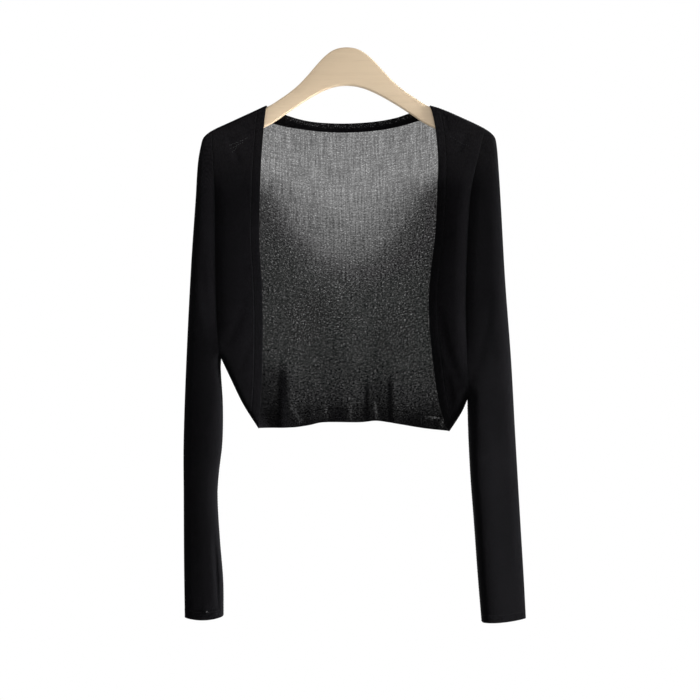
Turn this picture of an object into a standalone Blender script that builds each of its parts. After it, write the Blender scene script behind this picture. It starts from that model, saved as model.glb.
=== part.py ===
"""A cropped, open-front, long-sleeved knit cardigan on a plain wooden hanger.

Right and left are the wearer's: right is at -X, and the garment faces -Y. The origin is the top of the
hanger's crown, and every size in the tables is in millimetres: ACROSS from the hanger's centre line to either
side, and DROP below the origin. The cloth hangs as a flat, slightly filled form: every panel follows one rule
for how far it stands in front of or behind the middle plane, and the seams cut that form into panels.
"""

import bisect
import math
from collections import namedtuple
from itertools import chain

import bmesh
import bpy
from mathutils import Vector

MM = 0.001

WALL = 1.5  # cloth of the panels and sleeves
BAND_WALL = 1.9  # the doubled cloth of the bands
BAND_WIDTH = 10.5
HEM_BAND_HEIGHT = 17.0
SEAM = 0.8  # between the outer faces of two pieces sewn side by side; their inner edges lie closer
ARMHOLE_SEAM = 1.1

SHOULDER_ROUND = 8.0  # how far below the shoulder ridge the cloth has turned to hang straight
SIDE_ROUND = 18.0  # the same beside the side seam
ROUND_STEPS = 4

HANGER_THICKNESS = 12.0
HANGER_EDGE_ROUND = 4.6
HANGER_SEAT = 2.8  # from the cloth's outer ridge down to the wood

Spot = namedtuple("Spot", "across drop")

# The outer outline of each half: along the shoulder, round its end and down the outside of the sleeve.
OUTLINE = {
    "right": [
        Spot(102.4, 72.6), Spot(119.0, 80.3), Spot(149.4, 94.3), Spot(170.6, 104.9), Spot(179.6, 112.9),
        Spot(183.4, 120.8), Spot(187.9, 145.5), Spot(190.6, 190.0), Spot(195.6, 265.5), Spot(201.9, 390.5),
        Spot(205.6, 490.5), Spot(206.6, 560.0), Spot(205.6, 640.0), Spot(203.6, 711.0),
    ],
    "left": [
        Spot(101.9, 72.6), Spot(114.0, 75.8), Spot(132.1, 83.3), Spot(169.4, 102.2), Spot(180.6, 111.5),
        Spot(183.9, 119.0), Spot(187.2, 145.5), Spot(190.3, 195.0), Spot(195.6, 290.5), Spot(203.1, 391.8),
        Spot(208.5, 490.5), Spot(214.4, 596.8), Spot(218.4, 665.0), Spot(221.1, 713.0),
    ],
}

# The armhole seam, from the shoulder down to the underarm.
ARMHOLE = {
    "right": [
        Spot(170.6, 104.9), Spot(168.0, 190.0), Spot(167.4, 278.0), Spot(164.6, 350.0), Spot(159.4, 386.8),
    ],
    "left": [
        Spot(169.4, 102.2), Spot(153.5, 175.0), Spot(147.6, 250.0), Spot(145.6, 330.0), Spot(148.9, 438.0),
    ],
}

# The inner outline of each sleeve, from the underarm to the wrist.
SLEEVE_INNER = {
    "right": [
        Spot(159.4, 386.8), Spot(160.0, 402.0), Spot(157.3, 445.0), Spot(157.8, 494.0), Spot(161.8, 528.0),
        Spot(163.8, 559.0), Spot(160.6, 615.5), Spot(157.0, 665.0), Spot(157.0, 708.0),
    ],
    "left": [
        Spot(148.9, 438.0), Spot(149.2, 455.0), Spot(150.3, 490.5), Spot(152.9, 540.5), Spot(156.3, 585.0),
        Spot(161.6, 660.0), Spot(166.5, 713.0),
    ],
}

# The free front edge of each side, from the neck point to the corner of the hem.
FRONT_EDGE = {
    "right": [
        Spot(102.4, 72.6), Spot(105.4, 99.6), Spot(108.8, 146.8), Spot(110.6, 200.0), Spot(110.6, 246.8),
        Spot(107.4, 300.0), Spot(106.3, 353.0), Spot(107.6, 420.0), Spot(112.1, 474.5),
    ],
    "left": [
        Spot(101.9, 72.6), Spot(107.9, 99.3), Spot(111.4, 140.0), Spot(110.6, 178.0), Spot(107.6, 235.0),
        Spot(101.8, 283.0), Spot(99.4, 325.0), Spot(104.6, 385.0), Spot(114.0, 442.0), Spot(121.9, 477.5),
    ],
}

# Each side seam, from the underarm to the corner of the hem.
SIDE_SEAM = {
    "right": [Spot(159.4, 386.8), Spot(147.0, 413.0), Spot(131.3, 445.5), Spot(112.1, 474.5)],
    "left": [Spot(148.9, 438.0), Spot(141.9, 458.0), Spot(134.0, 471.0), Spot(121.9, 477.5)],
}

# The upper and the lower edge of the band behind the neck, from the right shoulder (negative) to the left one.
# The lower edge runs on to the shoulder ridge at both ends.
NECK_TOP = [
    Spot(-102.4, 72.6), Spot(-92.0, 77.6), Spot(-77.4, 84.0), Spot(-54.0, 91.4), Spot(-30.0, 94.6),
    Spot(2.0, 95.2), Spot(36.0, 92.8), Spot(60.0, 88.4), Spot(77.0, 82.6), Spot(91.5, 76.8), Spot(101.9, 72.6),
]
NECK_BOTTOM = [
    Spot(-103.5, 88.5), Spot(-83.0, 96.8), Spot(-57.0, 102.0), Spot(-31.0, 105.0), Spot(2.0, 105.7),
    Spot(38.0, 103.0), Spot(64.0, 98.4), Spot(85.0, 92.4), Spot(103.0, 86.0),
]

# The lower edge of the hem behind, from corner to corner.
HEM = [
    Spot(-112.1, 475.0), Spot(-70.0, 474.3), Spot(-52.0, 471.4), Spot(-31.9, 467.6), Spot(14.4, 467.2),
    Spot(36.0, 465.6), Spot(64.4, 469.6), Spot(98.0, 474.6), Spot(121.9, 477.8),
]

# How far the cloth stands from the middle plane, by the drop.
Fullness = namedtuple("Fullness", "drop depth")
FULLNESS = [
    Fullness(70, 8.6), Fullness(100, 9.6), Fullness(140, 13.0), Fullness(190, 17.5), Fullness(250, 22.0),
    Fullness(320, 25.5), Fullness(390, 26.0), Fullness(440, 23.0), Fullness(480, 19.0),
]

# The same for a sleeve once it hangs clear of the body.
SLEEVE_FULLNESS = [Fullness(320, 25.5), Fullness(390, 26.4), Fullness(480, 26.4)]

# Half the gap between the front and the back where they meet, at the shoulder ridge and at the side seam.
Gap = namedtuple("Gap", "drop half")
GAPS = [Gap(110, 0.55), Gap(380, 0.95)]

# How far in from the outer outline the cloth is still turning, by the drop.
Turn = namedtuple("Turn", "drop reach")
TURNS = [Turn(105, SHOULDER_ROUND), Turn(150, 14.0), Turn(200, 21.0), Turn(720, 21.0)]

# The folds gathered into the hem behind: place across (negative is right), half width, depth, and the drop
# where each starts.
Gather = namedtuple("Gather", "across half_width depth starts")
GATHERS = [
    Gather(-84.0, 7.0, 4.6, 380.0), Gather(-48.0, 8.0, 2.8, 405.0), Gather(-18.0, 7.0, 2.4, 410.0),
    Gather(22.0, 6.5, 3.4, 400.0), Gather(49.0, 6.0, 3.6, 395.0), Gather(84.0, 8.0, 2.6, 415.0),
]

# The long hollow in each front beside its armhole, where the cloth sinks in behind the sleeve: how deep, how far
# from the armhole seam, how wide, the drops where it starts and is full, and the same for its lower end, as
# distances from the side seam.
HOLLOW_DEPTH = 4.2
HOLLOW_PLACE = 11.5
HOLLOW_HALF_WIDTH = 4.6
HOLLOW_STARTS = 150.0
HOLLOW_FULL = 200.0
HOLLOW_ENDS_OFF_SEAM = 10.8
HOLLOW_FULL_OFF_SEAM = 46.8

# The hanging part of a sleeve, by the share of the way from underarm to wrist: half the tube's depth from
# front to back, how far its middle hangs forward, and how far forward its outer edge is turned.
SleeveRow = namedtuple("SleeveRow", "share half_depth forward turned")
SLEEVE_ROWS = [
    SleeveRow(0.12, 26.4, 0.6, 0.6), SleeveRow(0.30, 26.2, 2.4, 2.6), SleeveRow(0.41, 25.8, 3.8, 4.2),
    SleeveRow(0.52, 25.2, 5.2, 5.6), SleeveRow(0.70, 24.0, 7.2, 7.2), SleeveRow(0.86, 22.6, 8.4, 8.2),
    SleeveRow(1.00, 21.6, 9.0, 8.8),
]
CUFF_SAG = 3.2  # the middle of the wrist hem hangs lower than its two sides
CUFF_SAG_POWER = 6  # how late the rings above start to sag with it
# The rings over the underarm open like a fan: where each starts, as a share of the outline beside the armhole.
SLEEVE_FAN = [0.0, 0.022, 0.045, 0.075, 0.13, 0.24, 0.42, 0.62, 0.82, 1.0]
UNDERARM_SPREAD = 13.0  # the stretch of the sleeve's inner edge that the fan's inner ends take
BOWED_SHARE = 0.35  # past this share of the fan the rings no longer follow the armhole's curve

# The hanger's outline, from its middle to one side, then on inside the shoulder below the cloth.
HANGER_TOP = [
    Spot(0.0, 0.0), Spot(8.0, 0.7), Spot(14.5, 2.6), Spot(21.0, 6.0), Spot(30.5, 13.8), Spot(40.0, 24.0),
    Spot(50.5, 35.8), Spot(62.0, 47.4), Spot(75.1, 58.2), Spot(85.6, 66.0), Spot(94.0, 71.6),
]
HANGER_UNDERSIDE = [
    Spot(0.0, 47.4), Spot(11.0, 48.2), Spot(23.2, 50.7), Spot(37.0, 56.2), Spot(52.0, 65.6), Spot(68.0, 76.2),
    Spot(80.5, 85.0), Spot(93.3, 93.6), Spot(106.0, 100.2), Spot(135.0, 112.0), Spot(160.0, 122.6),
    Spot(173.0, 129.0),
]
HANGER_TIP = Spot(177.3, 120.5)
HANGER_TIP_HEIGHT = 3.0
HANGER_TIP_THICKNESS = 5.4
HANGER_TIP_ROUND = 9.0  # the stretch over which the wood thins to that
HANGER_EDGE_SHARE = 0.9  # where the wood is thin, its rounding takes at most this share of half its thickness
HANGER_END_SHARE = 0.48  # and of its height
RIDGE_RESTS = (1.5, 14.0, 32.0, 54.0, 72.0)  # places along the shoulder ridge where the wood follows the cloth

# How finely each piece is laid out: steps across and down it.
CURVE_STEPS = 10
STRETCH_STEPS = 24
FRONT_STEPS = 11
FRONT_BAND_STEPS = 2
SHOULDER_STEPS = 6  # of the back, on each side of its middle
BACK_STEPS = 24
NECK_STEPS = (24, 2)
HEM_BAND_STEPS = 2
DOWN_STEPS = 7  # between the two rounds of a column that hangs from a shoulder, and of half a sleeve's ring
MOST_ROUND = 0.4  # of a short length, the share that the close steps of one round may take
HANGER_STATIONS = 20
HANGER_TIP_CROWDING = 1.25  # brings the hanger's sections closer together towards its tips
HANGER_CORNER_STEPS = 3
CUT_MARGIN = 1.0  # the points of a line nearer than this to where another ends it are left out
MERGE = 1e-6  # metres

CLOTH_COLOUR = (0.012, 0.012, 0.014, 1.0)
BACK_COLOUR = (0.045, 0.043, 0.048, 1.0)
WOOD_COLOUR = (0.66, 0.50, 0.33, 1.0)


def smooth_line(spots):
    """A dense line through the spots, rounded between them."""
    points = [Vector(spot) for spot in spots]
    padded = [2 * points[0] - points[1], *points, 2 * points[-1] - points[-2]]
    line = []
    for before, start, end, after in zip(padded, padded[1:], padded[2:], padded[3:]):
        span = (end - start).length
        leave = (end - before) * span / ((start - before).length + span)
        arrive = (after - start) * span / (span + (after - end).length)
        for step in range(CURVE_STEPS):
            t = step / CURVE_STEPS
            line.append(
                start * (2 * t**3 - 3 * t**2 + 1)
                + leave * (t**3 - 2 * t**2 + t)
                + end * (3 * t**2 - 2 * t**3)
                + arrive * (t**3 - t**2)
            )
    return [*line, points[-1]]


def lengths_along(line):
    reached = [0.0]
    for start, end in zip(line, line[1:]):
        reached.append(reached[-1] + (end - start).length)
    return reached


def line_length(line):
    return lengths_along(line)[-1]


def at_length(line, length):
    """The point this far along the line."""
    reached = lengths_along(line)
    length = min(max(length, 0.0), reached[-1])
    i = min(max(bisect.bisect_right(reached, length) - 1, 0), len(line) - 2)
    share = (length - reached[i]) / (reached[i + 1] - reached[i])
    return line[i].lerp(line[i + 1], share)


def length_to_coordinate(line, axis, value):
    """How far along the line its coordinate on this axis first reaches the value."""
    reached = lengths_along(line)
    rising = line[-1][axis] > line[0][axis]
    for i, (start, end) in enumerate(zip(line, line[1:])):
        low, high = (start[axis], end[axis]) if rising else (end[axis], start[axis])
        if low <= value <= high and high > low:
            share = (value - start[axis]) / (end[axis] - start[axis])
            return reached[i] + share * (reached[i + 1] - reached[i])
    return reached[-1]


def distance_to(line, point):
    nearest = math.inf
    for start, end in zip(line, line[1:]):
        run = end - start
        share = min(max((point - start).dot(run) / run.length_squared, 0.0), 1.0)
        nearest = min(nearest, (start + run * share - point).length)
    return nearest


def from_table(rows, at):
    """The second column of a table at a value of its first, straight between rows."""
    places = [row[0] for row in rows]
    i = min(max(bisect.bisect_right(places, at) - 1, 0), len(rows) - 2)
    share = min(max((at - places[i]) / (places[i + 1] - places[i]), 0.0), 1.0)
    return rows[i][1] + share * (rows[i + 1][1] - rows[i][1])


def ease(t):
    t = min(max(t, 0.0), 1.0)
    return t * t * (3 - 2 * t)


def quarter_round(t):
    """0 at the fold, rising as a quarter circle to 1 where the cloth has turned."""
    t = min(max(t, 0.0), 1.0)
    return math.sqrt(1 - (1 - t) ** 2)


OUTLINE_LINE = {side: smooth_line(spots) for side, spots in OUTLINE.items()}
ARMHOLE_LINE = {side: smooth_line(spots) for side, spots in ARMHOLE.items()}
INNER_LINE = {side: smooth_line(spots) for side, spots in SLEEVE_INNER.items()}
EDGE_LINE = {side: smooth_line(spots) for side, spots in FRONT_EDGE.items()}
SEAM_LINE = {side: smooth_line(spots) for side, spots in SIDE_SEAM.items()}
SIGN = {"right": -1, "left": 1}


def half_depth(side, point):
    """How far the cloth stands from the middle plane at a point of this half, in millimetres."""
    turned = quarter_round(distance_to(OUTLINE_LINE[side], point) / from_table(TURNS, point.y))
    closed = quarter_round(distance_to(SEAM_LINE[side], point) / SIDE_ROUND)
    return from_table(FULLNESS, point.y) * turned * closed


def armhole_hollow(side, point):
    """How far a front sinks in beside its armhole."""
    off = distance_to(ARMHOLE_LINE[side], point) - HOLLOW_PLACE
    off_seam = distance_to(SEAM_LINE[side], point) - HOLLOW_ENDS_OFF_SEAM
    started = ease((point.y - HOLLOW_STARTS) / (HOLLOW_FULL - HOLLOW_STARTS))
    ended = ease(off_seam / (HOLLOW_FULL_OFF_SEAM - HOLLOW_ENDS_OFF_SEAM))
    return HOLLOW_DEPTH * started * ended * math.exp(-((off / HOLLOW_HALF_WIDTH) ** 2))


def gathered(across, drop):
    """How far the folds above the hem behind move the back, towards the front."""
    moved = 0.0
    for fold in GATHERS:
        down = ease((drop - fold.starts) / (HEM[0].drop - fold.starts))
        moved += fold.depth * down * math.exp(-(((across - fold.across) / fold.half_width) ** 2))
    return moved


def front_point(side, point):
    depth = from_table(GAPS, point.y) + half_depth(side, point) - armhole_hollow(side, point)
    return Vector((SIGN[side] * point.x, -depth, -point.y)) * MM


def back_point(across, drop):
    side = "right" if across < 0 else "left"
    point = Vector((abs(across), drop))
    folds = gathered(across, drop) * quarter_round(distance_to(SEAM_LINE[side], point) / SIDE_ROUND)
    depth = from_table(GAPS, drop) + half_depth(side, point) - folds
    return Vector((across, depth, -drop)) * MM


def spread(length, first_round, last_round, middle_steps):
    """Distances along a length, close together over the round at each end."""
    first = min(first_round, MOST_ROUND * length)
    last = min(last_round, MOST_ROUND * length)
    rise = [1 - math.cos(math.pi / 2 * i / ROUND_STEPS) for i in range(ROUND_STEPS + 1)]
    start = [first * share for share in rise]
    end = [length - last * share for share in reversed(rise)]
    middle = [first + (length - first - last) * i / middle_steps for i in range(1, middle_steps)]
    return start + middle + end


def material(name, colour, roughness):
    made = bpy.data.materials.new(name)
    made.use_nodes = True
    shader = made.node_tree.nodes["Principled BSDF"]
    shader.inputs["Base Color"].default_value = colour
    shader.inputs["Roughness"].default_value = roughness
    made.diffuse_color = colour
    return made


def add_object(name, bm, surface):
    mesh = bpy.data.meshes.new(name)
    bm.to_mesh(mesh)
    bm.free()
    mesh.shade_smooth()
    made = bpy.data.objects.new(name, mesh)
    made.data.materials.append(surface)
    bpy.context.scene.collection.objects.link(made)
    return made


def cloth(name, columns, wall, surface):
    """A wall of cloth: a grid laid on columns of points, thickened inwards. Columns that meet are joined."""
    bm = bmesh.new()
    bmesh.ops.create_grid(bm, x_segments=len(columns) - 1, y_segments=len(columns[0]) - 1, size=0.5)
    for vert, point in zip(bm.verts, chain.from_iterable(zip(*columns))):
        vert.co = point
    bmesh.ops.remove_doubles(bm, verts=bm.verts, dist=MERGE)
    made = add_object(name, bm, surface)
    thicken = made.modifiers.new("wall", "SOLIDIFY")
    thicken.thickness = wall * MM
    thicken.offset = -1
    return made


def patch(top, bottom, first, last, across_share, down):
    """A point of a four-sided patch, from how far it lies along each pair of its edges."""
    top_point = at_length(top, across_share * line_length(top))
    bottom_point = at_length(bottom, across_share * line_length(bottom))
    first_point = at_length(first, down * line_length(first))
    last_point = at_length(last, down * line_length(last))
    corners = top[0].lerp(top[-1], across_share).lerp(bottom[0].lerp(bottom[-1], across_share), down)
    return top_point.lerp(bottom_point, down) + first_point.lerp(last_point, across_share) - corners


def stretch(line, start, end):
    """The part of a line between two lengths along it."""
    return [at_length(line, start + (end - start) * share) for share in even(STRETCH_STEPS)]


def moved_across(line, by):
    return [Vector((point.x + by, point.y)) for point in line]


def round_places(steps):
    """Shares of the way across a round tube that are evenly spaced round it."""
    return [(1 - math.cos(math.pi * i / steps)) / 2 for i in range(steps + 1)]


def even(steps):
    return [i / steps for i in range(steps + 1)]


def patch_columns(place, edges, across_shares, even_steps=None):
    """The columns of a four-sided patch, each from its top edge to its bottom edge, with every point placed."""
    _, _, first, last = edges
    columns = []
    for share in across_shares:
        length = (1 - share) * line_length(first) + share * line_length(last)
        hanging = [row / length for row in spread(length, SHOULDER_ROUND, SIDE_ROUND, DOWN_STEPS)]
        rows = even(even_steps) if even_steps else hanging
        columns.append([place(patch(*edges, share, row)) for row in rows])
    return columns


def between(start, line, end):
    """The line with its ends put on the ends of the lines that it meets."""
    return [start, *line[1:-1], end]


def side_lines(side):
    """Where the pieces of a half meet: on the ridge, on the side seam, and the front band's outer edge."""
    outline, seam, edge = OUTLINE_LINE[side], SEAM_LINE[side], EDGE_LINE[side]
    on_ridge = length_to_coordinate(outline, 0, edge[0].x + BAND_WIDTH)
    armhole_top = length_to_coordinate(outline, 0, ARMHOLE[side][0].across)
    ridge_point = at_length(outline, on_ridge)
    below_ridge = [point for point in moved_across(edge, BAND_WIDTH) if point.y > ridge_point.y + CUT_MARGIN]
    crossing = min(range(len(below_ridge)), key=lambda i: distance_to(seam, below_ridge[i]))
    to_band = length_to_coordinate(seam, 1, below_ridge[crossing].y)
    corner = at_length(seam, to_band)
    band_outer = [ridge_point, *(point for point in below_ridge if point.y < corner.y - CUT_MARGIN), corner]
    return armhole_top, on_ridge, to_band, band_outer


def front_piece(name, side, edges, steps, wall):
    """A piece of one front, from the edge nearer the armhole to the edge nearer the opening."""
    columns = patch_columns(lambda point: front_point(side, point), edges, even(steps))
    return cloth(name, columns if side == "left" else columns[::-1], wall, KNIT)


def front_panel(side):
    outline, seam = OUTLINE_LINE[side], SEAM_LINE[side]
    armhole_top, on_ridge, to_band, band_outer = side_lines(side)
    top = stretch(outline, armhole_top - ARMHOLE_SEAM, on_ridge + SEAM)
    bottom = stretch(seam, ARMHOLE_SEAM, to_band - 2 * SEAM)
    armhole = between(top[0], moved_across(ARMHOLE_LINE[side], -ARMHOLE_SEAM), bottom[0])
    beside_band = between(top[-1], moved_across(band_outer, SEAM), bottom[-1])
    return front_piece(f"front_{side}", side, (top, bottom, armhole, beside_band), FRONT_STEPS, WALL)


def front_band(side):
    outline, seam = OUTLINE_LINE[side], SEAM_LINE[side]
    _, on_ridge, to_band, band_outer = side_lines(side)
    top = stretch(outline, on_ridge, 0.0)
    bottom = stretch(seam, to_band, line_length(seam))
    edges = (top, bottom, band_outer, EDGE_LINE[side])
    return front_piece(f"band_{side}", side, edges, FRONT_BAND_STEPS, BAND_WALL)


def signed(side, line):
    return [Vector((SIGN[side] * point.x, point.y)) for point in line]


def neck_lines():
    """The edges of the band behind the neck: its top, its bottom, and its two ends on the shoulder ridges."""
    ends = {}
    for side in SIGN:
        on_ridge = side_lines(side)[1]
        ends[side] = signed(side, stretch(OUTLINE_LINE[side], 0.0, on_ridge))
    top = smooth_line(NECK_TOP)
    bottom = smooth_line([ends["right"][-1], *NECK_BOTTOM, ends["left"][-1]])
    return top, bottom, ends["right"], ends["left"]


def hem_lines():
    """The edges of the hem band behind: its top, its bottom, and its two ends on the side seams."""
    ends = {}
    for side, corner in (("right", HEM[0]), ("left", HEM[-1])):
        seam = SEAM_LINE[side]
        from_length = length_to_coordinate(seam, 1, corner.drop - HEM_BAND_HEIGHT)
        ends[side] = signed(side, stretch(seam, from_length, line_length(seam)))
    raised = [Spot(spot.across, spot.drop - HEM_BAND_HEIGHT) for spot in HEM[1:-1]]
    top = smooth_line([ends["right"][0], *raised, ends["left"][0]])
    bottom = smooth_line([ends["right"][-1], *HEM[1:-1], ends["left"][-1]])
    return top, bottom, ends["right"], ends["left"]


def place_back(point):
    return back_point(point.x, point.y)


def hem_shares(length):
    return [place / length for place in spread(length, SIDE_ROUND, SIDE_ROUND, BACK_STEPS)]


def back_panel():
    """The back, in three stretches: below each shoulder, and between them from the neck to the hem band."""
    _, neck_bottom, *_ = neck_lines()
    hem_top, *_ = hem_lines()
    below_neck = [point + Vector((0, SEAM)) for point in neck_bottom]
    above_hem = [point - Vector((0, SEAM)) for point in hem_top]
    columns = {}
    inner = {}
    for side in SIGN:
        armhole_top, on_ridge, *_ = side_lines(side)
        seam = SEAM_LINE[side]
        to_hem = length_to_coordinate(seam, 1, (above_hem[0] if side == "right" else above_hem[-1]).y)
        top = signed(side, stretch(OUTLINE_LINE[side], armhole_top - ARMHOLE_SEAM, on_ridge + SEAM))
        bottom = signed(side, stretch(seam, ARMHOLE_SEAM, to_hem))
        armhole = signed(side, moved_across(ARMHOLE_LINE[side], -ARMHOLE_SEAM))
        inner[side] = [top[-1].lerp(bottom[-1], share) for share in even(CURVE_STEPS)]
        edges = (top, bottom, between(top[0], armhole, bottom[0]), inner[side])
        columns[side] = patch_columns(place_back, edges, even(SHOULDER_STEPS))
    below_neck = between(inner["right"][0], below_neck, inner["left"][0])
    above_hem = between(inner["right"][-1], above_hem, inner["left"][-1])
    edges = (below_neck, above_hem, inner["right"], inner["left"])
    middle = patch_columns(place_back, edges, hem_shares(line_length(above_hem)))
    return cloth("back", [*columns["right"], *middle[1:-1], *reversed(columns["left"])], WALL, SHEER_KNIT)


def neck_band():
    edges = neck_lines()
    length = line_length(edges[0])
    shares = [place / length for place in spread(length, SHOULDER_ROUND, SHOULDER_ROUND, NECK_STEPS[0])]
    columns = patch_columns(place_back, edges, shares, NECK_STEPS[1])
    return cloth("band_neck", columns, BAND_WALL, KNIT)


def hem_band():
    edges = hem_lines()
    columns = patch_columns(place_back, edges, hem_shares(line_length(edges[0])), HEM_BAND_STEPS)
    return cloth("band_hem", columns, BAND_WALL, KNIT)


def ring(side, spots, depths, forward=0.0, turned=0.0, sag=0.0):
    """One closed ring round a sleeve, from its outer fold over the front to the inner fold and back behind."""
    front, behind = [], []
    for spot, depth, share in zip(spots, depths, even_places(spots)):
        lean = forward + turned * (1 - 2 * share)
        drop = spot.y + sag * (1 - (1 - 2 * share) ** 2)
        front.append(Vector((SIGN[side] * spot.x, -depth - lean, -drop)) * MM)
        behind.append(Vector((SIGN[side] * spot.x, depth - lean, -drop)) * MM)
    return front + behind[-2::-1]


def even_places(spots):
    """Each spot's share of the way from the first to the last."""
    run = spots[-1] - spots[0]
    return [(spot - spots[0]).dot(run) / run.length_squared for spot in spots]


def fan_ring(side, share):
    """A ring of the upper sleeve, from the outline to the underarm."""
    outline, inner, armhole = OUTLINE_LINE[side], INNER_LINE[side], ARMHOLE_LINE[side]
    start = length_to_coordinate(outline, 0, ARMHOLE[side][0].across)
    inner_end = at_length(inner, UNDERARM_SPREAD * share)
    end = length_to_coordinate(outline, 1, at_length(inner, UNDERARM_SPREAD).y)
    outer_end = at_length(outline, start + (end - start) * share)
    bowed = max(0.0, 1 - share / BOWED_SHARE) ** 2
    length = (inner_end - outer_end).length
    round_here = from_table(TURNS, outer_end.y)
    spots, depths = [], []
    hanging = spread(length, round_here, SIDE_ROUND, DOWN_STEPS)
    for place, level in zip(hanging, round_places(len(hanging) - 1)):
        along = place / length + share**2 * (level - place / length)
        bow = at_length(armhole, along * line_length(armhole)) - armhole[0].lerp(armhole[-1], along)
        spot = outer_end.lerp(inner_end, along) + bowed * bow
        turned = quarter_round(distance_to(outline, spot) / from_table(TURNS, spot.y))
        closed = quarter_round(distance_to(inner, spot) / SIDE_ROUND)
        spots.append(spot)
        full = from_table(FULLNESS, spot.y)
        if spot.y > SLEEVE_FULLNESS[0].drop:
            full += share * (from_table(SLEEVE_FULLNESS, spot.y) - full)
        depths.append(full * turned * closed)
    depths[0] = depths[-1] = 0.0
    return ring(side, spots, depths)


def tube_ring(side, row):
    """A ring of the hanging sleeve, level from its outer to its inner fold."""
    outline, inner = OUTLINE_LINE[side], INNER_LINE[side]
    top = at_length(inner, UNDERARM_SPREAD).y
    outer_end = at_length(outline, length_to_coordinate(outline, 1, top + (outline[-1].y - top) * row.share))
    inner_end = at_length(inner, length_to_coordinate(inner, 1, top + (inner[-1].y - top) * row.share))
    spots = [outer_end.lerp(inner_end, place) for place in round_places(DOWN_STEPS + 2 * ROUND_STEPS)]
    depths = [row.half_depth * quarter_round(2 * min(share, 1 - share)) for share in even_places(spots)]
    return ring(side, spots, depths, row.forward, row.turned, CUFF_SAG * row.share**CUFF_SAG_POWER)


def sleeve(side):
    rings = [fan_ring(side, share) for share in SLEEVE_FAN] + [tube_ring(side, row) for row in SLEEVE_ROWS]
    if side == "left":
        rings = [points[::-1] for points in rings]
    return cloth(f"sleeve_{side}", rings, WALL, KNIT)


def hanger_line(side, spots, under_ridge):
    """One long edge of the hanger on one side, ended at its tip."""
    outline = OUTLINE_LINE[side]
    points = [Vector(spot) for spot in spots]
    for length in under_ridge:
        here, ahead = at_length(outline, length), at_length(outline, length + 1.0)
        along = (ahead - here).normalized()
        points.append(here + HANGER_SEAT * Vector((-along.y, along.x)))
    return points


def hanger_side(side):
    """Pairs of opposite points on the hanger's upper and lower edge, from its middle out to one tip."""
    tip_rise = Vector((0, HANGER_TIP_HEIGHT / 2))
    tip = Vector(HANGER_TIP)
    top = smooth_line([*hanger_line(side, HANGER_TOP, RIDGE_RESTS), tip - tip_rise])
    bottom = smooth_line([*(Vector(spot) for spot in HANGER_UNDERSIDE), tip + tip_rise])
    pairs = []
    for share in even(HANGER_STATIONS):
        share = 1 - (1 - share) ** HANGER_TIP_CROWDING
        pairs.append((at_length(top, share * line_length(top)), at_length(bottom, share * line_length(bottom))))
    return pairs


def hanger_section(side, upper, lower):
    """A rounded rectangle between two opposite points, as thick as the wood and thinner at the tip."""
    height = (lower - upper).length
    from_tip = HANGER_TIP.across - (upper.x + lower.x) / 2
    thinned = (HANGER_THICKNESS - HANGER_TIP_THICKNESS) * (1 - quarter_round(from_tip / HANGER_TIP_ROUND))
    half = (HANGER_THICKNESS - thinned) / 2
    edge = min(HANGER_EDGE_ROUND, HANGER_END_SHARE * height, HANGER_EDGE_SHARE * half)
    middle, up = (upper + lower) / 2, (upper - lower).normalized()
    points = []
    for corner, (out, rise) in enumerate(((1, 1), (-1, 1), (-1, -1), (1, -1))):
        for step in range(HANGER_CORNER_STEPS + 1):
            angle = math.pi / 2 * (corner + step / HANGER_CORNER_STEPS)
            y = out * (half - edge) + edge * math.cos(angle)
            along = rise * (height / 2 - edge) + edge * math.sin(angle)
            at = middle + up * along
            points.append(Vector((SIGN[side] * at.x, y, -at.y)) * MM)
    return [*points, points[0]]


def hanger():
    right = [hanger_section("right", *pair) for pair in hanger_side("right")]
    left = [hanger_section("left", *pair) for pair in hanger_side("left")]
    return closed_bar("hanger", [*right[:0:-1], *left], WOOD)


def closed_bar(name, sections, surface):
    """A solid through sections, each a closed run of points, with both ends filled."""
    bm = bmesh.new()
    bmesh.ops.create_grid(bm, x_segments=len(sections) - 1, y_segments=len(sections[0]) - 1, size=0.5)
    for vert, point in zip(bm.verts, chain.from_iterable(zip(*sections))):
        vert.co = point
    bmesh.ops.remove_doubles(bm, verts=bm.verts, dist=MERGE)
    bmesh.ops.holes_fill(bm, edges=bm.edges, sides=0)
    bmesh.ops.recalc_face_normals(bm, faces=bm.faces)
    return add_object(name, bm, surface)


for old in list(bpy.data.objects):
    bpy.data.objects.remove(old)

KNIT = material("black_knit", CLOTH_COLOUR, 0.85)
SHEER_KNIT = material("sheer_black_knit", BACK_COLOUR, 0.85)
WOOD = material("pale_wood", WOOD_COLOUR, 0.5)

hanger()
back_panel()
neck_band()
hem_band()
for half in SIGN:
    front_panel(half)
    front_band(half)
    sleeve(half)
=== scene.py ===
"""A cropped, open-front cardigan in fine black knit with a sheer back, hanging on a pale wooden hanger.

The cloth hangs as a flat, slightly filled form. Every panel follows one rule for how far it stands in
front of or behind the middle plane, seams cut that form into panels, and creases lie on it as soft
troughs and ridges. Right and left are the wearer's: right is at -X, and the garment faces -Y. The origin
is the top of the hanger's crown. The tables are in millimetres: ACROSS from the hanger's centre line, and
DROP below the origin.
"""

import bisect
import math
import random
from collections import namedtuple
from itertools import accumulate, chain

import bmesh
import bpy
from bpy.props import FloatProperty, FloatVectorProperty, PointerProperty
from mathutils import Matrix, Vector
from mathutils.geometry import intersect_point_line
from mathutils.kdtree import KDTree


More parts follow.
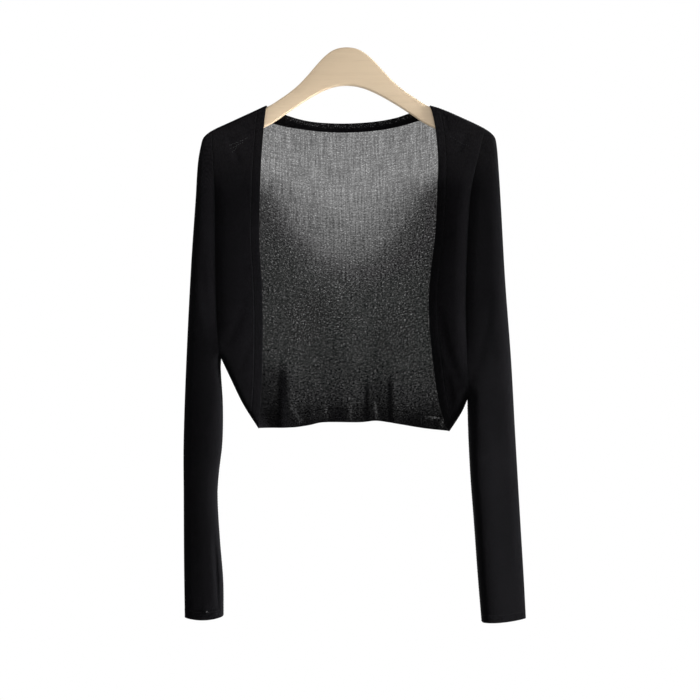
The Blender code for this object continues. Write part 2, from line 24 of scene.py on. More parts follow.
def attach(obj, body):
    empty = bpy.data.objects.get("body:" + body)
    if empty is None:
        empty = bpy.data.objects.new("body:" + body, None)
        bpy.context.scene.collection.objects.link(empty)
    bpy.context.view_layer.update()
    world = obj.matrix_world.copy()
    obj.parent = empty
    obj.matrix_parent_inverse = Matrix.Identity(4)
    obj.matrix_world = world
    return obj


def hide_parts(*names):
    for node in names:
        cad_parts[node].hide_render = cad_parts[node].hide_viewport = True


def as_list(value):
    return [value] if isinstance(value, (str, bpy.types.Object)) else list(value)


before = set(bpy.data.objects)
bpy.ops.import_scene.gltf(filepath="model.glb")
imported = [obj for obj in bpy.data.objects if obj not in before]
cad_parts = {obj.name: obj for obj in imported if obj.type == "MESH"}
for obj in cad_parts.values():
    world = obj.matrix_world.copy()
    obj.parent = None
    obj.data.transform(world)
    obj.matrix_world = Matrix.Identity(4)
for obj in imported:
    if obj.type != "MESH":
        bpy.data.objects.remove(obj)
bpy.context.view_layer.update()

bl_info = {
    "name": "Knitted cardigan on a hanger",
    "version": (1, 0, 0),
    "blender": (4, 5, 0),
    "location": "3D View > Sidebar > Cardigan",
    "description": "Makes a cropped open-front cardigan in black knit, its hanger and a plain studio",
    "category": "Add Mesh",
}

MM = 0.001
MERGE = 1e-6  # metres
BODY = "root"
CUT_MAP = "cut"  # the UV map of a piece: metres across and along its knitting
SIGN = {"right": -1, "left": 1}

# ---------------------------------------------------------------------------------------------------------
# The form of the garment as it hangs
# ---------------------------------------------------------------------------------------------------------

BAND_WIDTH = 10.5
HEM_BAND_HEIGHT = 17.0
CUFF_HEM_HEIGHT = 9.0
BUTT = 0.06  # between the edges of two pieces that are linked together
SHOULDER_ROUND = 8.0  # how far below the shoulder ridge the cloth has turned to hang straight
SIDE_ROUND = 18.0  # the same beside the side seam
LONE_RIDGE = 0.07  # half the gap between front and back where they meet
EDGE_SLACK = 0.04  # a point this near to the ridge or the side seam lies on it

Spot = namedtuple("Spot", "across drop")


def spots_at(*places):
    return [Spot(*place) for place in places]


def table(columns, *rows):
    """Rows of numbers, with the names of their columns."""
    row = namedtuple("Row", columns)
    return [row(*numbers) for numbers in rows]


# The outer outline of each half: along the shoulder, round its end and down the outside of the sleeve.
OUTLINE = {
    "right": spots_at(
        (102.4, 72.6), (119, 80.3), (149.4, 94.3), (171, 104.6), (180.4, 112.4), (183.6, 120.4),
        (187.9, 145.5), (190.6, 190), (195.6, 265.5), (201.9, 390.5), (205.2, 490.5), (204.9, 560),
        (204.4, 640), (203.4, 709.5),
    ),
    "left": spots_at(
        (101.9, 72.6), (114, 76.2), (132.1, 83.6), (170.6, 101.8), (181.6, 110.5), (184.6, 118.6),
        (187.2, 145.5), (190.3, 195), (195.6, 290.5), (203.1, 391.8), (208.5, 490.5), (214.4, 596.8),
        (218.4, 665), (220.8, 711.5),
    ),
}
# The armhole seam, from the shoulder down to the underarm.
ARMHOLE = {
    "right": spots_at((171, 104.6), (166.6, 190), (165.4, 278), (163.2, 350), (159.4, 386.8)),
    "left": spots_at((170.6, 101.8), (153.5, 175), (147.6, 250), (145.6, 330), (148.9, 438)),
}
# The inner outline of each sleeve, from the underarm to the wrist.
SLEEVE_INNER = {
    "right": spots_at(
        (159.4, 386.8), (160, 402), (157.3, 445), (157.8, 494), (161.8, 528), (163.8, 559), (160.6, 615.5),
        (156.5, 665), (156, 708.6),
    ),
    "left": spots_at(
        (148.9, 438), (149.2, 455), (150.3, 490.5), (152.9, 540.5), (156.3, 585), (161.6, 660),
        (166.2, 716),
    ),
}
# The free front edge of each side, from the neck point to the corner of the hem.
FRONT_EDGE = {
    "right": spots_at(
        (102.4, 72.6), (105.4, 99.6), (108.8, 146.8), (110.6, 200), (110.6, 246.8), (107.4, 300),
        (106.3, 353), (107.6, 420), (112.1, 476),
    ),
    "left": spots_at(
        (101.9, 72.6), (107.9, 99.3), (111.4, 140), (110.6, 178), (107.6, 235), (101.8, 283), (99.4, 325),
        (103.8, 385), (112.2, 442), (119.6, 468), (125.6, 479.6),
    ),
}
# Each side seam, from the underarm to the corner of the hem.
SIDE_SEAM = {
    "right": spots_at((159.4, 386.8), (147, 413), (131.3, 445.5), (112.1, 476)),
    "left": spots_at((148.9, 438), (142.8, 452.5), (136.1, 464), (125.6, 479.6)),
}
# The upper and the lower edge of the band behind the neck, from the right shoulder (negative) to the left.
NECK_TOP = spots_at(
    (-102.4, 72.6), (-92, 77.5), (-77.4, 83.8), (-54, 90.4), (-30, 93.3), (2, 93.9), (36, 91.3), (60, 86.8),
    (77, 81), (91.5, 76), (101.9, 72.6),
)
NECK_BOTTOM = spots_at(
    (-103.5, 89.4), (-83, 96.8), (-57, 101.3), (-31, 104.2), (2, 105), (38, 102.3), (64, 97.4), (85, 91.4),
    (103, 85.6),
)
# The lower edge of the hem behind, from corner to corner.
HEM = spots_at(
    (-112.1, 476.5), (-70, 475.5), (-52, 473.1), (-31.9, 469.1), (14.4, 469), (36, 467.2), (64.4, 471.5),
    (98, 476.9), (125.6, 479.9),
)

# How far the cloth stands from the middle plane, by the drop, and the same for a sleeve that hangs clear.
FULLNESS = table(
    "drop depth",
    (70, 8.6), (100, 9.6), (140, 13), (190, 17.5), (250, 22), (320, 25.5), (390, 26), (440, 23), (480, 19),
)
SLEEVE_FULLNESS = table("drop depth", (320, 25.5), (390, 26.4), (480, 26.4))

# How far in from the outer outline the cloth is still turning, by the drop.
TURNS = table("drop reach", (105, SHOULDER_ROUND), (150, 14), (200, 21), (720, 21))

# The folds gathered into the hem behind: place across, half width, depth, and the drop where each starts.
GATHERS = table(
    "across half_width depth starts",
    (-84, 6, 4.6, 380), (-48, 7, 2.8, 405), (-18, 6, 2.4, 410), (22, 4.6, 3.4, 400), (49, 4.8, 3.6, 395),
    (84, 7, 2.6, 415),
)

# Along each armhole seam one piece, the proud one, rolls down to the seam and the other lies lower: how
# deep the seam lies, over what reach the proud piece rolls, how far and over what reach the low one rises
# again, and the drops where all this starts, is full, begins to fade and ends.
Valley = namedtuple("Valley", "proud depth roll rise rise_reach starts full fades ends")
VALLEYS = {
    "right": Valley("sleeve", 5.0, 21.0, 2.2, 16.0, 140.0, 188.0, 335.0, 384.0),
    "left": Valley("front", 3.8, 15.0, 2.0, 15.0, 135.0, 182.0, 345.0, 420.0),
}

# Each front sinks in towards its free edge.
EDGE_SINK = 5.0
EDGE_SINK_REACH = 38.0
EDGE_SINK_RISE = (125.0, 205.0)  # the drops where that starts and is full

# The hanging part of a sleeve, by the share of the way from underarm to wrist: half the tube's depth from
# front to back, how far its middle hangs forward, and how far forward its outer edge is turned.
SleeveRow = namedtuple("SleeveRow", "share half_depth forward turned")
SLEEVE_ROWS = [
    SleeveRow(*row) for row in (
        (0, 26.4, 0, 0), (0.12, 26.4, 0.6, 0.2), (0.3, 26.2, 2.4, 0.8), (0.41, 25.8, 3.8, 1.2),
        (0.52, 25.2, 5.2, 1.6), (0.7, 24, 7.2, 1.8), (0.86, 22.6, 8.4, 2), (1, 21.6, 9, 2),
    )
]

# The front face of a hanging sleeve is flattened: where its crest lies, from the outer fold (0) to the
# inner one (1), and how far the face falls away from the crest towards the outer and the inner fold.
Crest = namedtuple("Crest", "place to_outer to_inner")
CRESTS = {"right": Crest(0.68, 4.6, 2.4), "left": Crest(0.97, 15.0, 0.0)}
CREST_ROUND = 0.45  # the share of the way to a fold in which the face is still turning
SLEEVE_FLATNESS = 6  # the power of that face's flattened section, where 2 would be round
FRONT_FLATNESS = {"right": 6, "left": 3}  # and of the cloth in front of the body and the upper sleeves
CUFF_SAG = {"right": 3.6, "left": 2.0}  # the middle of the wrist hem hangs lower than its two sides
CUFF_SAG_POWER = 6  # how late the rings above start to sag with it
CUFF_HEM_RISE = 0.45  # the doubled hem at the wrist stands this much proud
FAN_CROWDING = 1.5  # brings the sleeve's rings closer together at the armhole seam
UNDERARM_SPREAD = 13.0  # the stretch of the sleeve's inner edge that the fan's inner ends take
BOWED_SHARE = 0.35  # past this share of the fan the rings no longer follow the armhole's curve
TUBE_SHARE = 0.12  # by this share of the way to the wrist the sleeve is a round tube
FACE_FROM = 0.5  # the share of the fan from which the front face begins to take its flattened section
FACE_MIDWAY = 0.5  # how far it has taken it at the underarm
FACE_SHARE = 0.3  # and the share of the way to the wrist by which it has taken it wholly

# Creases by the face of cloth that they lie on: half width, how far they rise (troughs are negative), and
# the places on their path.
CREASES = {
    "front_right": [
        (6, -0.8, (-128, 310), (-140, 350), (-154, 380)),
        (5, -0.5, (-119, 352), (-129, 388), (-142, 412)),
        (4, -0.7, (-153, 108), (-144, 128), (-133, 152)),
    ],
    "front_left": [
        (2.4, -0.8, (117, 79), (121, 92), (124, 108)),
        (5.5, -1, (111, 318), (122, 375), (141, 428)),
        (4, -0.7, (121, 400), (127, 435), (130, 468)),
        (4, -0.7, (150, 104), (141, 122), (131, 140)),
    ],
    "back": [
        (9, -1.5, (-58, 170), (-64, 280), (-72, 392)),
        (8, 1.1, (8, 215), (12, 310), (6, 405)),
        (10, -1.4, (74, 160), (66, 260), (64, 372)),
        (6, -2.6, (-158, 175), (-156, 260), (-154, 340)),
        (6, -2.6, (146, 180), (139, 265), (137, 362)),
        (7, -1.8, (-150, 352), (-128, 376), (-100, 398)),
        (7, -1.6, (140, 392), (118, 408), (95, 420)),
        (6, 1, (-112, 330), (-116, 388), (-117, 440)),
        (5, -0.9, (36, 385), (35, 420), (36, 455)),
        (5, 0.8, (-66, 392), (-66, 425), (-67, 458)),
    ],
    "sleeve_right_front": [
        (5, -0.5, (-163, 384), (-176, 330), (-184, 250)),
        (7, -0.5, (-161, 508), (-178, 526), (-199, 536)),
        (2.6, -2.5, (-166.5, 600), (-163.5, 655), (-160.5, 708)),
    ],
    "sleeve_right_back": [
        (5, -1.8, (-163, 378), (-178, 330), (-186, 262)),
        (6, -1.5, (-159, 480), (-180, 498), (-202, 502)),
        (5.5, -1.6, (-164, 540), (-182, 548), (-204, 545)),
        (5, 1, (-161, 618), (-180, 632), (-201, 634)),
        (4.5, -1, (-184, 620), (-182, 664), (-184, 706)),
    ],
    "sleeve_left_front": [
        (6, -0.4, (152, 420), (168, 372), (180, 300)),
        (7, -0.5, (153, 500), (176, 516), (206, 514)),
        (6, 0.5, (196, 420), (202, 560), (209, 690)),
    ],
    "sleeve_left_back": [
        (5, -1.8, (152, 428), (170, 380), (180, 318)),
        (6, -1.6, (152, 520), (178, 528), (206, 520)),
        (5, -1.4, (157, 590), (182, 600), (211, 596)),
        (5, 1, (163, 660), (188, 672), (214, 668)),
    ],
}
CREASE_REACH = 3.0  # half widths from a crease's path to where the cloth is flat again
SEAM_DIP = 0.18  # the cloth sinks this far into a seam
SEAM_DIP_WIDTH = 1.5
RELIEF_FROM = 1.0  # creases and seams fade in where the cloth stands this far from the middle plane
RELIEF_REACH = 4.0  # and over this much more depth
SLEEVE_RELIEF_REACH = 6.0  # the same on the sleeves, from the middle plane on
BAND_PROUD = 0.25  # the bands behind the neck and along the hem stand this much proud
BAND_CROWN = 0.25  # a doubled front band is rounder along its middle
BAND_EDGE = 0.36  # how much of its wall is taken by a band's rounded edge
FRONT_BAND_EDGE = 0.18
EDGE_SEGMENTS = 3
EDGE_ANGLE = 50  # an edge sharper than this many degrees is rounded

# How much of the light passes through both walls of the back, by the drop down its middle line.
THROUGH = table(
    "drop share",
    (95, 0.175), (170, 0.178), (190, 0.17), (228, 0.119), (245, 0.098), (260, 0.077), (275, 0.049),
    (290, 0.034), (305, 0.0266), (320, 0.023), (335, 0.0224), (365, 0.019), (380, 0.0164), (395, 0.0152),
    (415, 0.0124), (438, 0.0085), (455, 0.0038), (470, 0.0018),
)
# To either side of the thinnest line the cloth is as dense as that line is further down.
SIDES_MIDDLE = -4.0  # where that line hangs
SIDES_SOONER = 95.0  # how much further down, for cloth this far from it:
SIDES_AT = 100.0
SIDES_RISE = (130.0, 188.0)  # the drops where that starts and is full
SIDES_FADE = (250.0, 400.0)  # and where it starts to fade and has faded
SHOULDER_THROUGH = 0.012  # behind the fronts and the shoulders

# Where the gathers above the hem lie double: place across, half width, the drop where each starts, and the
# share of that light which it takes away.
PLEATS = table(
    "across half_width starts share",
    (-83, 7.8, 382, 0.97), (-49.6, 1.8, 398, 0.45), (-12.7, 9.6, 432, 0.7), (22.9, 3, 396, 0.85),
    (52.4, 3.8, 392, 0.92), (37.4, 11, 400, 0.42), (81, 14, 446, 0.7), (108, 12, 458, 0.85),
    (-104, 15, 376, 0.62),
)
PLEATS_DEEPEN = 34.0  # below where it starts, the drop by which a pleat is full

# The thin places between them: where each starts and ends, half width, and how much more light passes.
SLITS = table(
    "start end half_width share",
    ((-71, 450), (-60, 467), 1.9, 0.016), ((-28.1, 448), (-28.4, 462), 1.6, 0.012),
    ((2.3, 436), (2.9, 464), 1.4, 0.012), ((33.6, 444), (35.6, 463), 1.6, 0.018),
    ((63.5, 451), (62.7, 459), 1.6, 0.01), ((98, 462.3), (114, 463.4), 1.1, 0.026),
    ((118.6, 466), (117.4, 475), 1.3, 0.022),
)

# Columns where the back hangs thinner, or denser where negative: place across, half width, and the share of
# that light.
COLUMNS = table(
    "across half_width share",
    (-60, 11, 0.2), (-18, 13, -0.2), (10, 9, 0.12), (38, 12, -0.18), (76, 14, 0.1),
)
COLUMNS_RISE = (300.0, 360.0)  # the drops where they start and are full

# The hanger's outline, from its middle to one side, then on inside the shoulder below the cloth.
HANGER_TOP = spots_at(
    (0, 0), (8, 0.7), (14.5, 2.6), (21, 6), (30.5, 13.8), (40, 24), (50.5, 35.8), (62, 47.4), (75.1, 57.8),
    (85.6, 64.8), (94, 70.4),
)
HANGER_UNDERSIDE = spots_at(
    (0, 47.6), (11, 48.5), (23.2, 51.8), (37, 58), (52, 66.4), (68, 76.5), (80.5, 85), (93.3, 93.6),
    (106, 100.2), (135, 112), (160, 122.6), (173, 129),
)
HANGER_TIP = Spot(177.3, 120.5)
HANGER_TIP_HEIGHT = 3.0
HANGER_TIP_THICKNESS = 5.4
HANGER_TIP_ROUND = 9.0  # how far from the tip the wood is as thick as elsewhere
HANGER_SEAT = 2.0  # from the cloth's outer ridge down to the wood
HANGER_ASIDE = -2.4  # its crown hangs a little off the garment's middle line
HANGER_ASIDE_REACH = 100.0  # and this far from that line it no longer does
HANGER_EDGE_SHARE = 0.9  # the most of half the thickness that a rounded edge may take
HANGER_END_SHARE = 0.48  # and of the height
RIDGE_RESTS = (1.5, 14.0, 32.0, 54.0, 72.0)  # places along the ridge where the wood follows the cloth
RIDGE_STEP = 1.0  # between the two points that give the ridge's direction there
HANGER_TIP_CROWDING = 1.25  # brings the wood's sections closer together at the tip

# Short slanting rows of fashioning stitches near the shoulders: the side, the first and the last stitch,
# how many there are, and how far they stand proud.
Mark = namedtuple("Mark", "side start end stitches proud")
MARKS = [
    Mark("right", (126.9, 114.6), (147.6, 123.4), 11, 0.1),
    Mark("right", (131.5, 119.6), (146.5, 126.8), 7, 0),
    Mark("right", (138.9, 125.6), (144.6, 130.8), 4, 0.1),
    Mark("left", (128.2, 113), (149.4, 124.3), 9, -0.22),
]
MARK_SIZE = (1.5, 0.8, 0.6)  # along, across and through the cloth
MARK_SCATTER = 0.7
MARK_STEEPNESS = (-2.6, -0.4)  # the least and the most that a stitch rises for each unit across
MARK_SEED = 4
CUFF_TACK = Spot(175.2, 698.8)  # the loose thread end at the right wrist
TACK_SIZE = (2.9, 1.7, 1.5)
TACK_ALONG = (1.0, 0.0, 0.7)
TACK_PROUD = 0.4

# Linking stitches.
STITCH_WAIST = 0.62  # how thin they are drawn in between, as a share of their width
STITCH_LEAN = 0.12  # and how far they lean
CORD_SIDE = (0.3, 1.0, 0.2)  # a direction that no seam starts along
CORD_SUNK = 0.55  # how deep a seam's stitches lie in the cloth
BAND_SEAM_DEEPER = 1.35  # the seam beside a front band lies this much deeper than the others
ARMHOLE_CORD_FROM = 2.0  # how far below the shoulder ridge the armhole's stitches start

# How finely the pieces are laid out.
CURVE_STEPS = 16
STRETCH_STEPS = 48
ROUND_STEPS = 8
MOST_ROUND = 0.4  # of a short length, the share that the close steps of one round may take
FRONT_STEPS = 40
BAND_STEPS = 8
SHOULDER_STEPS = 42
BACK_STEPS = 118
NECK_STEPS = 100
DOWN_STEPS = 150
SLEEVE_AROUND = 36
FAN_STEPS = 84
TUBE_STEPS = 104
CUFF_STEPS = 9
HANGER_STATIONS = 72
HANGER_CORNER_STEPS = 7
RINGS_TO_A_STITCH = 4
CORD_SIDES = 6
STITCH_SEGMENTS = 8
STITCH_RINGS = 6
SLEEVE_SEAM_RINGS = 24
CUT_MARGIN = 1.0  # the points of a line nearer than this to where another ends it are left out


def hermite(start, leave, end, arrive, t):
    """A point on the cubic that leaves its start and arrives at its end at the given slopes."""
    return (
        start * (2 * t**3 - 3 * t**2 + 1)
        + leave * (t**3 - 2 * t**2 + t)
        + end * (3 * t**2 - 2 * t**3)
        + arrive * (t**3 - t**2)
    )


def clamp(value, low=0.0, high=1.0):
    return min(max(value, low), high)


def even(steps):
    return [i / steps for i in range(steps + 1)]


class Line:
    """A dense line of points, which knows how far along it each one lies and which of them is nearest."""

    def __init__(self, points):
        self.points = points
        runs = ((end - start).length for start, end in zip(points, points[1:]))
        self.reached = list(accumulate(runs, initial=0.0))
        self.length = self.reached[-1]
        self.tree = KDTree(len(points))
        for i, point in enumerate(points):
            self.tree.insert(point.to_3d(), i)
        self.tree.balance()

    def at(self, length):
        """The point this far along the line."""
        length = clamp(length, 0.0, self.length)
        i = int(clamp(bisect.bisect_right(self.reached, length) - 1, 0, len(self.points) - 2))
        share = (length - self.reached[i]) / (self.reached[i + 1] - self.reached[i])
        return self.points[i].lerp(self.points[i + 1], share)

    def length_to(self, axis, value):
        """How far along the line its coordinate on this axis first reaches the value."""
        rising = self.points[-1][axis] > self.points[0][axis]
        for i, (start, end) in enumerate(zip(self.points, self.points[1:])):
            low, high = (start[axis], end[axis]) if rising else (end[axis], start[axis])
            if low <= value <= high and high > low:
                share = (value - start[axis]) / (end[axis] - start[axis])
                return self.reached[i] + share * (self.reached[i + 1] - self.reached[i])
        return self.length

    def nearest(self, point):
        """How far the point lies from the line, and how far along it, as a share."""
        _, i, _ = self.tree.find(point.to_3d())
        found = []
        for j in range(max(i - 1, 0), min(i + 1, len(self.points) - 1)):
            start = self.points[j]
            run = self.points[j + 1] - start
            share = clamp((point - start).dot(run) / run.length_squared)
            found.append(((start + run * share - point).length, self.reached[j] + share * run.length))
        off, along = min(found)
        return off, along / self.length

    def distance(self, point):
        return self.nearest(point)[0]

    def stretch(self, start, end):
        """The part of the line between two lengths along it."""
        return Line([self.at(start + (end - start) * share) for share in even(STRETCH_STEPS)])

    def moved(self, across=0.0, drop=0.0):
        return Line([point + Vector((across, drop)) for point in self.points])

    def on_side(self, side):
        return Line([Vector((SIGN[side] * point.x, point.y)) for point in self.points])

    def ended(self, start, end):
        """The line with its ends put on the ends of the lines that it meets."""
        return Line([start, *self.points[1:-1], end])


def smooth_line(spots):
    """A dense line through the spots, rounded between them."""
    points = [Vector(spot) for spot in spots]
    padded = [2 * points[0] - points[1], *points, 2 * points[-1] - points[-2]]
    line = []
    for before, start, end, after in zip(padded, padded[1:], padded[2:], padded[3:]):
        span = (end - start).length
        leave = (end - before) * span / ((start - before).length + span)
        arrive = (after - start) * span / (span + (after - end).length)
        line += [hermite(start, leave, end, arrive, step / CURVE_STEPS) for step in range(CURVE_STEPS)]
    return Line([*line, points[-1]])


def from_table(rows, at, column=1):
    """A column of a table at a value of its first one, on a smooth curve through the rows."""
    places = [row[0] for row in rows]
    at = clamp(at, places[0], places[-1])
    i = int(clamp(bisect.bisect_right(places, at) - 1, 0, len(rows) - 2))

    def slope(j):
        before, after = rows[max(j - 1, 0)], rows[min(j + 1, len(rows) - 1)]
        return (after[column] - before[column]) / (after[0] - before[0])

    span = places[i + 1] - places[i]
    start, end = rows[i][column], rows[i + 1][column]
    return hermite(start, slope(i) * span, end, slope(i + 1) * span, (at - places[i]) / span)


def ease(t):
    t = clamp(t)
    return t * t * (3 - 2 * t)


def ramp(value, starts, full):
    """0 where it starts, rising softly to 1 where it is full."""
    return ease((value - starts) / (full - starts))


def quarter_round(t, power=2):
    """0 at the fold, rising to 1 where the cloth has turned: as a quarter circle, or sooner with power."""
    return (1 - (1 - clamp(t)) ** power) ** (1 / power)


def arch(share, power=2):
    """0 at both ends of the way across, and 1 in its middle."""
    return quarter_round(2 * min(share, 1 - share), power)


def bell(off, half_width):
    return math.exp(-((off / half_width) ** 2))


def plateau(off, half_width):
    """Like a bell, but with a flat top and steeper sides."""
    return math.exp(-((off / half_width) ** 4))


def distance_to(point, start, end):
    """How far a point lies from a short straight line."""
    start, end = Vector(start), Vector(end)
    _, share = intersect_point_line(point, start, end)
    return (point - start.lerp(end, clamp(share))).length


OUTLINE_LINE = {side: smooth_line(spots) for side, spots in OUTLINE.items()}
ARMHOLE_LINE = {side: smooth_line(spots) for side, spots in ARMHOLE.items()}
INNER_LINE = {side: smooth_line(spots) for side, spots in SLEEVE_INNER.items()}
EDGE_LINE = {side: smooth_line(spots) for side, spots in FRONT_EDGE.items()}
SEAM_LINE = {side: smooth_line(spots) for side, spots in SIDE_SEAM.items()}
CREASE_LINES = {
    face: [(half_width, rise, smooth_line(path)) for half_width, rise, *path in creases]
    for face, creases in CREASES.items()
}


def turned_depth(full, side, point, fold, power, slack=0.0):
    """A full depth, less where the cloth turns in to its outer ridge and to a side seam or inner fold."""
    from_ridge = OUTLINE_LINE[side].distance(point) - slack
    from_fold = fold.distance(point) - slack
    turned = quarter_round(from_ridge / from_table(TURNS, point.y), power)
    return full * turned * quarter_round(from_fold / SIDE_ROUND, power)


def half_depth(side, point, power=2):
    """How far the cloth stands from the middle plane at a point of this half."""
    return turned_depth(from_table(FULLNESS, point.y), side, point, SEAM_LINE[side], power, EDGE_SLACK)


def creased(face, across, drop):
    """How far the creases of a face raise it at a point."""
    point = Vector((across, drop))
    raised = 0.0
    for half_width, rise, line in CREASE_LINES[face]:
        off, along = line.nearest(point)
        if off < CREASE_REACH * half_width:
            raised += rise * math.sin(math.pi * along) * bell(off, half_width)
    return raised


def sunk_seam(side, piece, point):
    """How far a piece in front, sleeve or front, lies lower beside the armhole seam."""
    valley = VALLEYS[side]
    shown = ramp(point.y, valley.starts, valley.full) * (1 - ramp(point.y, valley.fades, valley.ends))
    away = ARMHOLE_LINE[side].distance(point)
    if piece == valley.proud:
        return shown * valley.depth * (1 - clamp(away / valley.roll)) ** 2
    return shown * (valley.depth - valley.rise * (1 - (1 - clamp(away / valley.rise_reach)) ** 2))


def sunk_edge(side, point):
    """How far a front sinks in towards its free edge."""
    shown = ramp(point.y, *EDGE_SINK_RISE)
    return EDGE_SINK * shown * (1 - clamp(EDGE_LINE[side].distance(point) / EDGE_SINK_REACH)) ** 2


def gathered(across, drop):
    """How far the folds above the hem behind move the back, towards the front."""
    moved = 0.0
    for fold in GATHERS:
        down = ramp(drop, fold.starts, HEM[0].drop)
        moved += fold.depth * down * bell(across - fold.across, fold.half_width)
    return moved


def dip(point, lines):
    """How far the cloth sinks into the seams nearest to a point."""
    return sum(SEAM_DIP * bell(line.distance(point), SEAM_DIP_WIDTH) for line in lines)


def front_point(side, point, seams=(), raised=0.0):
    """Where the front of a half lies at a point of it, in metres."""
    depth = LONE_RIDGE + half_depth(side, point, FRONT_FLATNESS[side])
    if depth > RELIEF_FROM:
        flat = 1 - bell(depth - RELIEF_FROM, RELIEF_REACH)
        raised += creased(f"front_{side}", SIGN[side] * point.x, point.y)
        depth += flat * (raised - dip(point, seams))
        depth -= flat * (sunk_edge(side, point) + sunk_seam(side, "front", point))
    return Vector((SIGN[side] * point.x, -depth, -point.y)) * MM


def back_point(across, drop, seams=(), raised=0.0):
    """Where the back lies at a place across it and down, in metres."""
    side = "right" if across < 0 else "left"
    point = Vector((abs(across), drop))
    depth = LONE_RIDGE + half_depth(side, point)
    if depth > RELIEF_FROM:
        flat = 1 - bell(depth - RELIEF_FROM, RELIEF_REACH)
        depth -= gathered(across, drop) * quarter_round(SEAM_LINE[side].distance(point) / SIDE_ROUND)
        depth += flat * (creased("back", across, drop) + raised)
        depth -= flat * dip(Vector((across, drop)), seams)
    return Vector((across, depth, -drop)) * MM


def spread(length, first_round, last_round, middle_steps):
    """Distances along a length, close together over the round at each end."""
    first = min(first_round, MOST_ROUND * length)
    last = min(last_round, MOST_ROUND * length)
    rise = [1 - math.cos(math.pi / 2 * share) for share in even(ROUND_STEPS)]
    start = [first * share for share in rise]
    end = [length - last * share for share in reversed(rise)]
    middle = [first + (length - first - last) * share for share in even(middle_steps)[1:-1]]
    return start + middle + end


def end_rounded(line, ends_round, middle_steps):
    """Shares of the way along a line, close together over the round at each end."""
    return [at / line.length for at in spread(line.length, ends_round, ends_round, middle_steps)]


def patch(edges, across_share, down):
    """A point of a four-sided patch, from how far it lies along each pair of its edges."""
    top, bottom, first, last = edges
    across_top, across_bottom = (
        line.points[0].lerp(line.points[-1], across_share) for line in (top, bottom)
    )
    blend = top.at(across_share * top.length).lerp(bottom.at(across_share * bottom.length), down)
    blend += first.at(down * first.length).lerp(last.at(down * last.length), across_share)
    return blend - across_top.lerp(across_bottom, down)


def patch_columns(place, edges, across_shares, even_steps=None):
    """The columns of a four-sided patch, each from its top to its bottom edge, with every point placed."""
    _, _, first, last = edges
    columns = []
    for share in across_shares:
        length = (1 - share) * first.length + share * last.length
        hanging = [row / length for row in spread(length, SHOULDER_ROUND, SIDE_ROUND, DOWN_STEPS)]
        rows = even(even_steps) if even_steps else hanging
        columns.append([place(patch(edges, share, row), share) for row in rows])
    return columns


def side_lines(side):
    """Where the pieces of a half meet: on the ridge, on the side seam, and the front band's outer edge."""
    outline, seam, edge = OUTLINE_LINE[side], SEAM_LINE[side], EDGE_LINE[side]
    on_ridge = outline.length_to(0, edge.points[0].x + BAND_WIDTH)
    armhole_top = outline.length_to(0, ARMHOLE[side][0].across)
    ridge_point = outline.at(on_ridge)
    below_ridge = [point for point in edge.moved(BAND_WIDTH).points if point.y > ridge_point.y + CUT_MARGIN]
    crossing = min(below_ridge, key=seam.distance)
    to_band = seam.length_to(1, crossing.y)
    corner = seam.at(to_band)
    kept = (point for point in below_ridge if point.y < corner.y - CUT_MARGIN)
    return armhole_top, on_ridge, to_band, Line([ridge_point, *kept, corner])


def neck_lines():
    """The edges of the band behind the neck: its top, its bottom, and its ends on the shoulder ridges."""
    ends = {}
    for side, outline in OUTLINE_LINE.items():
        _, on_ridge, *_ = side_lines(side)
        ends[side] = outline.stretch(0.0, on_ridge).on_side(side)
    top = smooth_line(NECK_TOP)
    bottom = smooth_line([ends["right"].points[-1], *NECK_BOTTOM, ends["left"].points[-1]])
    return top, bottom, ends["right"], ends["left"]


def hem_lines():
    """The edges of the hem band behind: its top, its bottom, and its ends on the side seams."""
    ends = {}
    for side, corner in (("right", HEM[0]), ("left", HEM[-1])):
        seam = SEAM_LINE[side]
        from_length = seam.length_to(1, corner.drop - HEM_BAND_HEIGHT)
        ends[side] = seam.stretch(from_length, seam.length).on_side(side)
    raised = [Spot(spot.across, spot.drop - HEM_BAND_HEIGHT) for spot in HEM[1:-1]]
    top = smooth_line([ends["right"].points[0], *raised, ends["left"].points[0]])
    bottom = smooth_line([ends["right"].points[-1], *HEM[1:-1], ends["left"].points[-1]])
    return top, bottom, ends["right"], ends["left"]


# ---------------------------------------------------------------------------------------------------------
# Laying cloth out and finishing pieces
# ---------------------------------------------------------------------------------------------------------


def add_object(name, bm, surface):
    mesh = bpy.data.meshes.new(name)
    bm.to_mesh(mesh)
    bm.free()
    mesh.shade_smooth()
    mesh.materials.append(surface)
    made = bpy.data.objects.new(name, mesh)
    bpy.context.scene.collection.objects.link(made)
    return made


def lay_grid(bm, columns):
    """Adds a grid of faces on columns of points."""
    made = bmesh.ops.create_grid(bm, x_segments=len(columns) - 1, y_segments=len(columns[0]) - 1, size=0.5)
    for vert, point in zip(made["verts"], chain.from_iterable(zip(*columns))):
        vert.co = point


def panel_cut(columns):
    """Where each point of a hanging panel lies in its cut: across it, and down its column."""
    cut = []
    for column in columns:
        runs = ((low - high).length for high, low in zip(column, column[1:]))
        cut.append([(point.x, -down) for point, down in zip(column, accumulate(runs, initial=0.0))])
    return cut


def sleeve_cut(rings):
    """Where each point of a sleeve lies in its cut: level round the tube from the first, and its height."""
    cut = []
    for ring in rings:
        runs = ((ahead - here).xy.length for here, ahead in zip(ring, ring[1:]))
        cut.append([(around, point.z) for point, around in zip(ring, accumulate(runs, initial=0.0))])
    return cut


